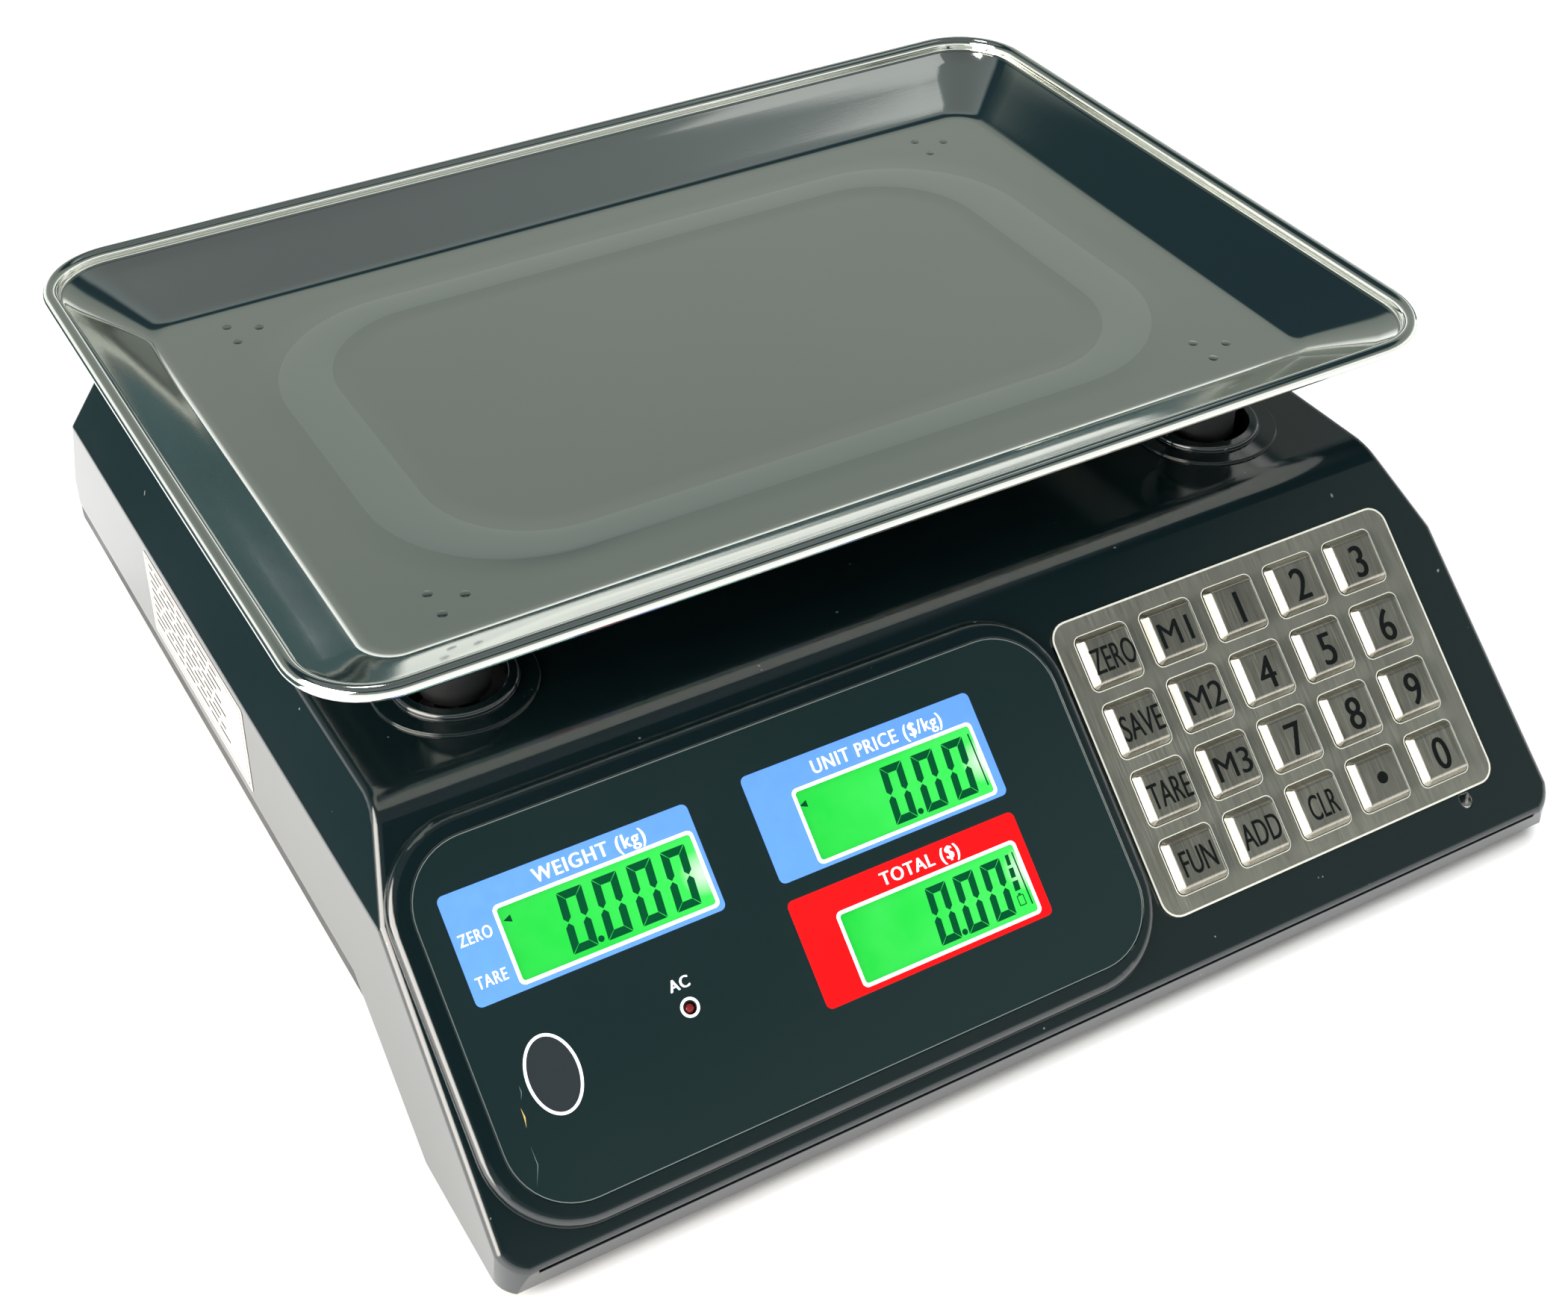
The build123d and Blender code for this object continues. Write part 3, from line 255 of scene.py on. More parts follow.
def printed_film(name, colour):
    """Gloss film over print, with fine hairline scratches and specks."""
    made, tree, shader = new_material(name, colour, 0.12)
    scratches = noise(tree, 35, stretch=(14, 1, 1), detail=8, turn=(0.4, 0.3, 0.5))
    marks = spread(tree, scratches, 0, 0.5, 0.74, 0.8)
    tree.links.new(tint(tree, marks, colour, linear(96, 104, 100)), shader.inputs["Base Color"])
    tree.links.new(spread(tree, noise(tree, 18, detail=5), 0.08, 0.2), shader.inputs["Roughness"])
    grain(tree, shader, noise(tree, 45, detail=2), 0.00002, edge=0.0002)
    return made


def ink(name, colour, roughness=0.32, glow=0.0, specular=0.25):
    """Screen-printed ink with the slight unevenness of its mesh; glow gives off light, the backlight's own
    and that which the segments pass, but painted brightness on white, blue and red print.
    """
    made, tree, shader = new_material(name, colour, roughness, specular=specular)
    uneven = noise(tree, 260, detail=4)
    thinner = tint(tree, spread(tree, uneven, 0, 0.5), colour, scaled(colour, 0.85))
    tree.links.new(thinner, shader.inputs["Base Color"])
    if glow:
        shader.inputs["Emission Color"].default_value = colour
        shader.inputs["Emission Strength"].default_value = glow
    grain(tree, shader, uneven, 0.00001)
    return made


def lit_display(name, hot_spot):
    """Green edge-lit display: pale where its lamp sits, deeper green far from it; hot_spot in metres."""
    made, tree, shader = new_material(name, linear(14, 92, 30), 0.18)
    place = tree.nodes.new("ShaderNodeTexCoord")
    away = node(tree, "ShaderNodeVectorMath", operation="DISTANCE")
    away.inputs[1].default_value = hot_spot
    tree.links.new(place.outputs["Object"], away.inputs[0])
    far = spread(tree, away.outputs["Value"], 0, 1, 0.004, 0.05)
    near = spread(tree, away.outputs["Value"], 1, 0, 0.0012, 0.006)
    green = tint(tree, far, LIT_NEAR, LIT_FAR)
    clouds = spread(tree, noise(tree, 60, detail=3), 0, 0.25)
    cloudy = tint(tree, clouds, green, LIT_CLOUD)
    tree.links.new(tint(tree, near, cloudy, LIT_HOT), shader.inputs["Emission Color"])
    shader.inputs["Emission Strength"].default_value = 0.92
    grain(tree, shader, noise(tree, 500, detail=1), 0.000005)
    return made


def circuit_board(name):
    """Green board with paler tracks."""
    made, tree, shader = new_material(name, linear(20, 92, 48), 0.35)
    tracks = noise(tree, 350, stretch=(1, 0.15, 1), detail=1)
    mixed = tint(tree, spread(tree, tracks, 0, 1, 0.52, 0.56), linear(18, 84, 44), linear(44, 130, 74))
    tree.links.new(mixed, shader.inputs["Base Color"])
    grain(tree, shader, tracks, 0.00004, edge=0.0002)
    return made


def red_lens(name):
    """Red lens, cloudy inside."""
    made, tree, shader = new_material(name, linear(96, 22, 24), 0.12)
    depth = noise(tree, 900, detail=2)
    tree.links.new(tint(tree, depth, linear(70, 12, 16), linear(130, 40, 36)), shader.inputs["Base Color"])
    grain(tree, shader, depth, 0.00002)
    return made


def label_paper(name):
    """Greyed paper with its fibres."""
    made, tree, shader = new_material(name, linear(176, 171, 165), 0.5)
    fibres = noise(tree, 800, detail=4)
    mottled = tint(tree, fibres, linear(164, 159, 153), linear(184, 180, 175))
    tree.links.new(mottled, shader.inputs["Base Color"])
    grain(tree, shader, fibres, 0.00002)
    return made


BLACK = linear(8, 19, 21)
SATIN_BLACK = linear(20, 22, 22)
LIT_NEAR = linear(64, 240, 92)
LIT_FAR = linear(12, 208, 52)
LIT_CLOUD = linear(110, 250, 130)
LIT_HOT = linear(236, 255, 236)
materials = {
    "cover_plastic": gloss_plastic("cover_plastic", BLACK, linear(150, 154, 150), 0.085, specular=0.85),
    "tray_plastic": matte_plastic("tray_plastic", linear(24, 25, 26), 0.5),
    "steel": bare_metal("steel", linear(200, 201, 200), 0.3),
    "steel_plate": bare_metal("steel_plate", linear(178, 182, 184), 0.38, cell=90),
    "cell_aluminium": brushed_steel("cell_aluminium", linear(216, 218, 220), 0.3, (1, 30, 30)),
    "cast_aluminium": bare_metal("cast_aluminium", linear(184, 186, 188), 0.5, cell=700, depth=0.0001),
    "post_plastic": matte_plastic("post_plastic", SATIN_BLACK, 0.35),
    "cap_rubber": rubber("cap_rubber", linear(16, 17, 18)),
    "pan_steel": polished_steel("pan_steel"),
    "band_steel": polished_steel("band_steel", linear(216, 219, 212), linear(235, 236, 230)),
    "weld_steel": bare_metal("weld_steel", linear(190, 194, 188), 0.16, cell=500, depth=0.00002),
    "cup_steel": bare_metal("cup_steel", linear(176, 178, 176), 0.28, cell=60),
    "overlay_film": printed_film("overlay_film", linear(18, 31, 32)),
    "lcd_glass": lit_display("lcd_glass", (0, 0.16, 0.07)),
    "backlight": ink("backlight", linear(190, 240, 150), glow=0.2),
    "circuit_board": circuit_board("circuit_board"),
    "led": red_lens("led"),
    "plate_steel": brushed_steel("plate_steel", linear(196, 194, 182), 0.38, (60, 1, 1)),
    "key_steel": brushed_steel("key_steel", linear(204, 200, 187), 0.33, (60, 1, 1), 0.55),
    "mat_rubber": rubber("mat_rubber", linear(170, 170, 166)),
    "battery_case": matte_plastic("battery_case", linear(46, 47, 50), 0.45),
    "transformer_core": bare_metal("transformer_core", linear(120, 92, 56), 0.5, cell=200),
    "fitting_plastic": matte_plastic("fitting_plastic", linear(20, 20, 21), 0.4),
    "pin_brass": bare_metal("pin_brass", linear(214, 206, 180), 0.25),
    "rocker_plastic": gloss_plastic("rocker_plastic", linear(18, 18, 19), linear(70, 70, 70), 0.2),
    # pale ink for real scratches, and for the painted highlight along the overlay film's cut edge
    "wear_and_edge_highlight": ink("wear_and_edge_highlight", linear(96, 106, 104)),
    "gold_scratch": ink("gold_scratch", linear(176, 150, 92)),
    "foot_rubber": rubber("foot_rubber", linear(18, 18, 19)),
    "blank_film": printed_film("blank_film", linear(36, 41, 44)),
    # white, blue and red print glow: painted brightness, as printed ink gives no light
    WHITE_INK: ink(WHITE_INK, linear(232, 236, 246), glow=0.35),
    BLUE_INK: ink(BLUE_INK, linear(80, 128, 208), glow=0.12),
    RED_INK: ink(RED_INK, linear(244, 6, 10), glow=0.2),
    DARK_INK: ink(DARK_INK, linear(8, 12, 12), roughness=0.6, specular=0.1),
    "segment": ink("segment", linear(0, 62, 32), roughness=0.5, glow=0.1, specular=0.05),
    # pale ink: painted highlight on the key plate's edges and round its key holes
    "steel_edge_highlight": ink("steel_edge_highlight", linear(186, 188, 178), roughness=0.3),
    "label_paper": label_paper("label_paper"),
}

for entry in frame["record"]["subparts"]:
    cad_node = frame["nodes"][entry["node"]]
    cad_node.data.materials.clear()
    cad_node.data.materials.append(materials[entry["material_slot"]])


# ---------------------------------------------------------------- placing
def plane_matrix(origin, across, up, normal, right, rise_by, up_by):
    """Matrix of a spot on a plane: right and up along it, rise_by above it, all in mm."""
    spot = Vector(origin) + across * right + up * up_by + normal * rise_by
    columns = Matrix((across, up, normal)).transposed().to_4x4()
    return Matrix.Translation(spot * MM) @ columns


def on_panel(right, down, rise):
    """A spot on the front panel, right of its middle and down from the crease."""
    across = Vector((1, 0, 0))
    up = Vector((0, math.cos(SLOPE), math.sin(SLOPE)))
    return plane_matrix(CREASE, across, up, across.cross(up), right, rise, -down)


def on_back(right, down, rise):
    """A spot on the sloping back, right as seen from behind, and down from its top edge."""
    across = Vector((-1, 0, 0))
    up = Vector((0, -BACK_RUN, BACK_FALL)).normalized()
    return plane_matrix(BACK_EDGE, across, up, across.cross(up), right, rise, -down)


def add_piece(name, mesh, material, body):
    """A new object from a mesh, riding on a body."""
    piece = bpy.data.objects.new(name, mesh)
    bpy.context.scene.collection.objects.link(piece)
    mesh.materials.clear()
    mesh.materials.append(materials[material])
    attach(piece, body)
    return piece


def curve_mesh(curve, matrix):
    """The filled mesh of a flat curve or text, placed by a matrix."""
    holder = bpy.data.objects.new(curve.name, curve)
    bpy.context.scene.collection.objects.link(holder)
    bpy.context.view_layer.update()
    graph = bpy.context.evaluated_depsgraph_get()
    mesh = bpy.data.meshes.new_from_object(holder.evaluated_get(graph))
    bpy.data.objects.remove(holder)
    mesh.transform(matrix)
    return mesh


def flat_shape(name, loops, matrix, thick, material, body):
    """A thin plate bounded by closed loops of points in mm; inner loops are holes."""
    curve = bpy.data.curves.new(name, "CURVE")
    curve.dimensions = "2D"
    curve.fill_mode = "BOTH"
    curve.extrude = thick / 2 * MM
    for loop in loops:
        spline = curve.splines.new("POLY")
        spline.points.add(len(loop) - 1)
        spline.use_cyclic_u = True
        for point, (x, y) in zip(spline.points, loop):
            point.co = (x * MM, y * MM, 0, 1)
    mesh = curve_mesh(curve, matrix @ Matrix.Translation((0, 0, thick / 2 * MM)))
    return add_piece(name, mesh, material, body)


CAPITAL_SHARE = 0.73  # height of a capital, as a share of the font's size


def lettering(name, text, height, matrix, thick, material, body, widen, spacing):
    """Plain sans-serif lettering whose capitals are height mm tall, centred on the spot."""
    curve = bpy.data.curves.new(name, "FONT")
    curve.body = text
    curve.size = height / CAPITAL_SHARE * MM
    curve.align_x = "CENTER"
    curve.extrude = thick / 2 * MM
    curve.space_character = spacing
    curve.resolution_u = 6
    base = Matrix.Translation((0, -height / 2 * MM, thick / 2 * MM))
    mesh = curve_mesh(curve, matrix @ Matrix.Diagonal((widen, 1, 1, 1)) @ base)
    return add_piece(name, mesh, material, body)


def bold_lettering(name, text, height, matrix, material, body, widen, spacing, weight):
    """Lettering printed twice, weight mm either side, so that its strokes are bold."""
    for side, shift, thick in (("left", -weight, 0.06), ("right", weight, 0.05)):
        shifted = matrix @ Matrix.Translation((shift * MM, 0, 0))
        lettering(f"{name}_{side}", text, height, shifted, thick, material, body, widen, spacing)


def rounded(width, height, radius, x=0.0, y=0.0, steps=6):
    """Outline of a rounded rectangle."""
    points = []
    for turn, (sx, sy) in enumerate(((1, 1), (-1, 1), (-1, -1), (1, -1))):
        for step in range(steps + 1):
            angle = math.pi / 2 * (turn + step / steps)
            points.append((
                x + sx * (width / 2 - radius) + radius * math.cos(angle),
                y + sy * (height / 2 - radius) + radius * math.sin(angle),
            ))
    return points


def oval(half_width, half_height, x=0.0, y=0.0, steps=96):
    """Outline of an ellipse."""
    turns = [2 * math.pi * step / steps for step in range(steps)]
    return [(x + half_width * math.cos(turn), y + half_height * math.sin(turn)) for turn in turns]


def circle(radius, x=0.0, y=0.0, steps=48):
    """Outline of a circle."""
    return oval(radius, radius, x, y, steps)


# ---------------------------------------------------------------- printed front panel
PRINT_THICK = 0.06  # white print; coloured print and film are thinner
WINDOW_HOLE = (53.6, 19.2)
WINDOW_CORNER = 1.6
BLOCK_CORNER = 1.7
FRAME_SIZE = (54.9, 20.6)
FRAME_LINE = 0.95
FRAME_INNER_CORNER = 0.9
# where each display's lamp shows through, across and down
HOT_SPOTS = {"weight_lcd": (-85.2, 45.0), "unit_price_lcd": (-1.2, 44.6), "total_lcd": (-1.6, 75.0)}


def white_print(name, loops, matrix):
    """White lines printed on a display's film, with a painted glow."""
    flat_shape(name, loops, matrix, PRINT_THICK, WHITE_INK, "base")


def printed_block(name, place, size, window_at, material):
    """Coloured label block with a clear window in it, with a painted glow."""
    hole = rounded(*WINDOW_HOLE, WINDOW_CORNER, window_at[0] - place[0], place[1] - window_at[1])
    outline = rounded(*size, BLOCK_CORNER)
    flat_shape(name, [outline, hole], on_panel(*place, OVERLAY_TOP), 0.03, material, "base")


def window_frame(name, matrix):
    """White line printed round a display window."""
    outer = rounded(*FRAME_SIZE, WINDOW_CORNER)
    inner = rounded(FRAME_SIZE[0] - 2 * FRAME_LINE, FRAME_SIZE[1] - 2 * FRAME_LINE, FRAME_INNER_CORNER)
    white_print(name, [outer, inner], matrix)


for lcd, (right, down) in HOT_SPOTS.items():
    hot_spot = on_panel(right, down, GLASS_TOP).translation
    frame["nodes"][lcd].data.materials[0] = lit_display(lcd, hot_spot)

printed_block("weight_block", (-116.8, 41.35), (68.0, 28.5), WEIGHT_AT, BLUE_INK)
printed_block("unit_price_block", (-32.45, 40.8), (69.1, 29.2), UNIT_PRICE_AT, BLUE_INK)
printed_block("total_block", (-33.3, 74.5), (68.8, 29.0), TOTAL_AT, RED_INK)
for frame_name, frame_at in (
    ("weight_frame", WEIGHT_AT),
    ("unit_price_frame", UNIT_PRICE_AT),
    ("total_frame", TOTAL_AT),
):
    window_frame(frame_name, on_panel(*frame_at, OVERLAY_TOP))

WORD_SPACING = 1.13
# text, middle of the capitals across and down, capital height, width factor, stroke weight
PANEL_WORDS = (
    ("WEIGHT (kg)", -111.0, 30.5, 3.8, 0.93, 0.12),
    ("ZERO", -144.9, 38.9, 3.2, 0.72, 0.06),
    ("TARE", -144.9, 49.9, 3.2, 0.72, 0.06),
    ("UNIT PRICE ($/kg)", -27.6, 30.2, 3.8, 0.86, 0.1),
    ("TOTAL ($)", -29.2, 63.6, 3.6, 0.94, 0.12),
    ("AC", -101.7, 68.2, 3.1, 0.9, 0.1),
)
for number, (text, right, down, height, widen, weight) in enumerate(PANEL_WORDS):
    bold_lettering(
        f"panel_word_{number}", text, height, on_panel(right, down, OVERLAY_TOP),
        WHITE_INK, "base", widen, WORD_SPACING, weight,
    )

LED_RING = (2.55, 1.85)  # outer and inner radius of the ring round the mains lamp
white_print("led_ring", [circle(radius) for radius in LED_RING], on_panel(*LED_AT, OVERLAY_TOP))
BLANK_AT = (-139.3, 76.7)
BLANK_SIZE = (7.0, 10.1)  # half width and half height of the oval left free for a badge
BLANK_LINE = 0.75
BLANK_FILM_INSET = 0.7
white_print(
    "blank_ring", [oval(*BLANK_SIZE), oval(BLANK_SIZE[0] - BLANK_LINE, BLANK_SIZE[1] - BLANK_LINE)],
    on_panel(*BLANK_AT, OVERLAY_TOP),
)
flat_shape(
    "blank_oval", [oval(BLANK_SIZE[0] - BLANK_FILM_INSET, BLANK_SIZE[1] - BLANK_FILM_INSET)],
    on_panel(*BLANK_AT, OVERLAY_TOP), 0.02, "blank_film", "base",
)

# a pale line along the film's cut edge is a painted highlight, and three old scratches lie near its left end
OVERLAY_AT = (-64.9, 61.2)
OVERLAY_SIZE = (185.4, 93.4, 18.0)
OVERLAY_LINE = 0.25
edge_outer = rounded(*OVERLAY_SIZE, steps=12)
edge_inner = rounded(
    OVERLAY_SIZE[0] - 2 * OVERLAY_LINE, OVERLAY_SIZE[1] - 2 * OVERLAY_LINE, OVERLAY_SIZE[2] - OVERLAY_LINE,
    steps=12,
)
flat_shape(
    "overlay_edge_highlight", [edge_outer, edge_inner], on_panel(*OVERLAY_AT, OVERLAY_TOP), 0.02,
    "wear_and_edge_highlight", "base",
)
# material, upper end, lower end, width
SCRATCHES = (
    ("gold_scratch", (-149.7, 81.0), (-150.1, 86.0), 0.3),
    ("wear_and_edge_highlight", (-150.8, 90.3), (-152.8, 99.7), 0.14),
    ("wear_and_edge_highlight", (-148.2, 76.0), (-148.9, 79.4), 0.16),
)
for number, (material, start, end, width) in enumerate(SCRATCHES):
    fall = start[1] - end[1]
    sliver = [(0, 0), (width, fall / 2), (end[0] - start[0], fall), (-width / 3, fall / 2)]
    flat_shape(
        f"scratch_{number}", [sliver], on_panel(*start, OVERLAY_TOP), 0.01, material, "base"
    )


# ---------------------------------------------------------------- display figures
SEGMENT_GAP = 0.13
FIGURE_LEAN = 0.084  # sideways to the right, as a share of the height
POINT_R = 0.82


def nought(width, height, stroke):
    """Outlines of the six lit segments of a seven-segment nought, before it is slanted."""
    w, h, s, g = (width / 2, height / 2, stroke, SEGMENT_GAP)
    return [
        [(-w + g, h), (w - g, h), (w - s, h - s), (-w + s, h - s)],
        [(w, h - g), (w, g + s / 2), (w - s / 2, g), (w - s, g + s / 2), (w - s, h - s - g)],
        [(w, -h + g), (w - s, -h + s + g), (w - s, -g - s / 2), (w - s / 2, -g), (w, -g - s / 2)],
        [(-w + g, -h), (-w + s, -h + s), (w - s, -h + s), (w - g, -h)],
        [(-w, -h + g), (-w, -g - s / 2), (-w + s / 2, -g), (-w + s, -g - s / 2), (-w + s, -h + s + g)],
        [(-w, h - g), (-w + s, h - s - g), (-w + s, g + s / 2), (-w + s / 2, g), (-w, g + s / 2)],
    ]


def slanted(loop, x, y):
    """Moves a loop to its place and leans it as the display's figures do."""
    return [(px + x + FIGURE_LEAN * py, py + y) for px, py in loop]


def display_figures(name, matrix, places, point_at, size, extras=()):
    """The lit noughts of one display, its decimal point and its small marks."""
    loops = []
    for x, y in places:
        loops += [slanted(loop, x, y) for loop in nought(*size)]
    loops.append(circle(POINT_R, *point_at, steps=20))
    loops += list(extras)
    flat_shape(name, loops, matrix, 0.04, "segment", "base")


def from_middle(middle, right, down):
    """A spot on the panel as x and y from a display's middle."""
    return (right - middle[0], middle[1] - down)


def pointer(x, y):
    """Small triangle that points at a word printed beside the display."""
    return [(x - 1.05, y), (x + 1.05, y + 0.95), (x + 1.05, y - 0.95)]


def battery_mark(x, y):
    """Three charge bars above a small battery outline."""
    bars = []
    # half width, half height and middle of each bar
    for w, h, bar_x, bar_y in ((0.55, 1.4, 0.55, 7.6), (0.7, 1.3, 0.35, 4.1), (0.85, 1.3, 0.1, 0.6)):
        bars.append(slanted([(-w, -h), (w, -h), (w, h), (-w, h)], x + bar_x, y + bar_y))
    case = rounded(2.1, 2.9, 0.3, x - 0.1, y - 3.4, 3)
    case_hole = rounded(1.6, 2.4, 0.2, x - 0.1, y - 3.4, 3)
    cap = [(x - 0.5, y - 1.9), (x + 0.3, y - 1.9), (x + 0.3, y - 1.5), (x - 0.5, y - 1.5)]
    return bars + [case, case_hole, cap]


# painted shadow: a dark line at the right end of a display window
cell_border = rounded(0.4, 14.6, 0.1, 25.95, 0.0, 2)
MARKS = {
    "weight": [pointer(*from_middle(WEIGHT_AT, -135.9, 38.1))],
    "unit_price": [pointer(*from_middle(UNIT_PRICE_AT, -52.9, 38.4)), cell_border],
    "total": [*battery_mark(*from_middle(TOTAL_AT, -5.5, 79.2)), cell_border],
}
# display, its middle, the noughts' places across and down, the point's place, width, height and stroke
FRONT_FIGURES = (
    ("weight", WEIGHT_AT, (-119.6, -110.05, -100.5, -90.95), 44.3, (-115.7, 50.9), (6.8, 15.5, 2.05)),
    ("unit_price", UNIT_PRICE_AT, (-26.8, -17.3, -7.8), 44.5, (-22.9, 51.1), (6.6, 15.4, 2.0)),
    ("total", TOTAL_AT, (-27.9, -19.4, -10.9), 77.8, (-24.2, 84.4), (6.2, 15.3, 1.95)),
)
for name, middle, across, down, point, size in FRONT_FIGURES:
    places = [from_middle(middle, right, down) for right in across]
    point_at = from_middle(middle, *point)
    display_figures(f"{name}_figures", on_panel(*middle, GLASS_TOP), places, point_at, size, MARKS[name])

# ---------------------------------------------------------------- customer's display on the back
REAR_WINDOWS = ((61.0, "WEIGHT (kg)", 4), (0.0, "UNIT PRICE ($/kg)", 3), (-61.0, "TOTAL ($)", 3))
REAR_DOWN = 26.5
REAR_WORD_UP = 13.6
REAR_FIRST_X = 18.5  # of the rightmost nought
REAR_FIGURE_PITCH = 9.5
for number, (right, text, figures) in enumerate(REAR_WINDOWS):
    window_frame(f"rear_frame_{number}", on_back(-right, REAR_DOWN, BACK_OVERLAY_TOP))
    word_at = on_back(-right, REAR_DOWN - REAR_WORD_UP, BACK_OVERLAY_TOP)
    bold_lettering(
        f"rear_word_{number}", text, 3.4, word_at, WHITE_INK, "base", 0.92, 1.05, 0.15
    )
    places = [(REAR_FIRST_X - REAR_FIGURE_PITCH * step, 0) for step in range(figures)]
    point_at = (places[-1][0] + 4.1, -6.8)
    glass_at = on_back(-right, REAR_DOWN, BACK_GLASS_TOP)
    display_figures(f"rear_figures_{number}", glass_at, places, point_at, (6.5, 15.0, 2.0))


# ---------------------------------------------------------------- key plate and legends
PLATE_TOP = 0.9
PLATE_AT = (91.5, 60.8)
PLATE_SIZE = (117.6, 86.0, 5.5)
KEY_HOLE = (17.1, 16.0, 2.05)
PLATE_LINE = 0.55  # painted highlight along the plate's polished edge
HOLE_LINE = 0.3  # and round each key's hole
DIGIT_LEGEND = (9.8, 0.84, 0.17)  # capital height, width factor, stroke weight
WORD_HEIGHT = 7.6
WORD_WEIGHT = 0.06
WORD_WIDEN = {
    "ZERO": 0.53, "SAVE": 0.59, "TARE": 0.55, "FUN": 0.58, "ADD": 0.58, "CLR": 0.52,
    "M1": 0.98, "M2": 0.98, "M3": 0.98,
}
POINT_LEGEND_R = 1.75


def key_place(row, column):
    """Middle of a key, across and down the panel."""
    return (KEYS_AT[0] + (column - 2) * KEY_PITCH[0], KEYS_AT[1] + (row - 1.5) * KEY_PITCH[1])


def widened(size, line):
    """Width, height and corner of a rounded rectangle that lies one line outside another."""
    width, height, corner = size
    return (width + 2 * line, height + 2 * line, corner + line)


# pale lines painted as the highlight on the plate's edge and round each key's hole
edge_loops = [rounded(*PLATE_SIZE), rounded(*widened(PLATE_SIZE, -PLATE_LINE))]
for row, names in enumerate(KEY_ROWS):
    for column in range(len(names)):
        hole_at = from_middle(PLATE_AT, *key_place(row, column))
        edge_loops.append(rounded(*widened(KEY_HOLE, HOLE_LINE), *hole_at))
        edge_loops.append(rounded(*KEY_HOLE, *hole_at))
flat_shape(
    "plate_edge_highlights", edge_loops, on_panel(*PLATE_AT, PLATE_TOP), 0.02, "steel_edge_highlight", "base"
)

for row, names in enumerate(KEY_ROWS):
    for column, name in enumerate(names):
        spot = on_panel(*key_place(row, column), KEY_TOP)
        body = f"key_{name}"
        if name == "point":
            flat_shape("legend_point", [circle(POINT_LEGEND_R)], spot, 0.03, DARK_INK, body)
            continue
        text = KEY_WORDS.get(name, name.upper())
        if len(text) == 1:
            height, widen, weight = DIGIT_LEGEND
        else:
            height, widen, weight = (WORD_HEIGHT, WORD_WIDEN[text], WORD_WEIGHT)
        bold_lettering(f"legend_{name}", text, height, spot, DARK_INK, body, widen, 1.0, weight)


# ---------------------------------------------------------------- pan
FLOOR_Z = PAN_TOP - PAN_DEPTH
LIP_Z = PAN_TOP - LIP_DROP
LIP_CORNER = PAN_CORNER - LIP_INSET
WALL_X = (PAN_LENGTH - FLOOR_LENGTH) / 2  # from the rim's outside to the foot of the sloping wall
WALL_Y = (PAN_WIDTH - FLOOR_WIDTH) / 2
WALL_SLOPE_X = math.atan2(LIP_Z - FLOOR_Z, WALL_X - LIP_INSET)
WALL_SLOPE_Y = math.atan2(LIP_Z - FLOOR_Z, WALL_Y - LIP_INSET)
FILLET_LIFT = 1.1  # height over which the floor curves into the wall
FILLET_STEPS = 8
UNDER_OUT = 0.6  # the sloping wall's underside lies this far out from its inside,
UNDER_DOWN = 0.64  # and this far down
CORNER_STEPS = 14
LONG_SIDE_PIECES = 36
SHORT_SIDE_PIECES = 26
# points of every ring of the pan
RING_POINTS = 4 * (CORNER_STEPS + 1) + 2 * (LONG_SIDE_PIECES - 1) + 2 * (SHORT_SIDE_PIECES - 1)
# the pressed band in the floor: half length, half width, corner radius and height of each ring
BAND_RINGS = (
    (8, 6, 5, 0), (60, 34, 16, 0), (100, 56, 28, 0), (104, 60, 30, 0.0),
    (107, 63, 33, 0.2), (110, 66, 35, 0.26), (118, 70, 41, 0.26), (123, 73, 44, 0.2),
    (127, 76, 46, 0.0), (131, 80, 44, 0), (139, 86, 20, 0),
)
BAND_FIRST = 4  # the band lies between these rings
BAND_LAST = 7
# the rolled rim: where its curve starts and how far it turns, in degrees
BEAD_START = -22
BEAD_TURN = 262
BEAD_STEPS = 26
WELD_R = 1.5
WELD_CIRCLE_R = 5.5
WELD_RISE = 0.12
WELD_SIDES = 24
WELD_PROFILE = ((0.5, 0.75), (0.8, 0.36), (1.0, -0.1))  # shares of the radius and of the rise


def divided(ring):
    """The same closed outline with its straight sides divided, alike on every ring."""
    corner_points = CORNER_STEPS + 1
    points = []
    for index, (x, y) in enumerate(ring):
        points.append((x, y))
        if index % corner_points == CORNER_STEPS:
            side = index // corner_points
            pieces = LONG_SIDE_PIECES if side % 2 == 0 else SHORT_SIDE_PIECES
            next_x, next_y = ring[(index + 1) % len(ring)]
            for step in range(1, pieces):
                share = step / pieces
                points.append((x + (next_x - x) * share, y + (next_y - y) * share))
    return points


def pan_ring(inset_x, inset_y, z, corner):
    """One ring of the pan: a rounded rectangle set in from the rim's outside, all in mm."""
    outline = rounded(
        PAN_LENGTH - 2 * inset_x, PAN_WIDTH - 2 * inset_y, corner, 0, PAN_Y, steps=CORNER_STEPS
    )
    return [Vector((x, y, z)) * MM for x, y in divided(outline)]


def centred_ring(half_length, half_width, z, corner):
    """One ring of the pan by its half length and half width."""
    return pan_ring(PAN_LENGTH / 2 - half_length, PAN_WIDTH / 2 - half_width, z, corner)


def wall_ring(share, out=0.0, down=0.0):
    """A ring part way down the sloping wall, from 0 at the lip to 1 at the floor."""
    return pan_ring(
        LIP_INSET + (WALL_X - LIP_INSET) * share - out,
        LIP_INSET + (WALL_Y - LIP_INSET) * share - out,
        LIP_Z + (FLOOR_Z - LIP_Z) * share - down,
        LIP_CORNER + (FLOOR_CORNER - LIP_CORNER) * share + out,
    )


def fillet_inset(wall, slope, lift):
    """How far in the curve from floor to wall is at this height above the floor."""
    radius = FILLET_LIFT / (1 - math.cos(slope))
    angle = math.acos(1 - lift / radius)
    return wall + radius * math.tan(slope / 2) - radius * math.sin(angle)


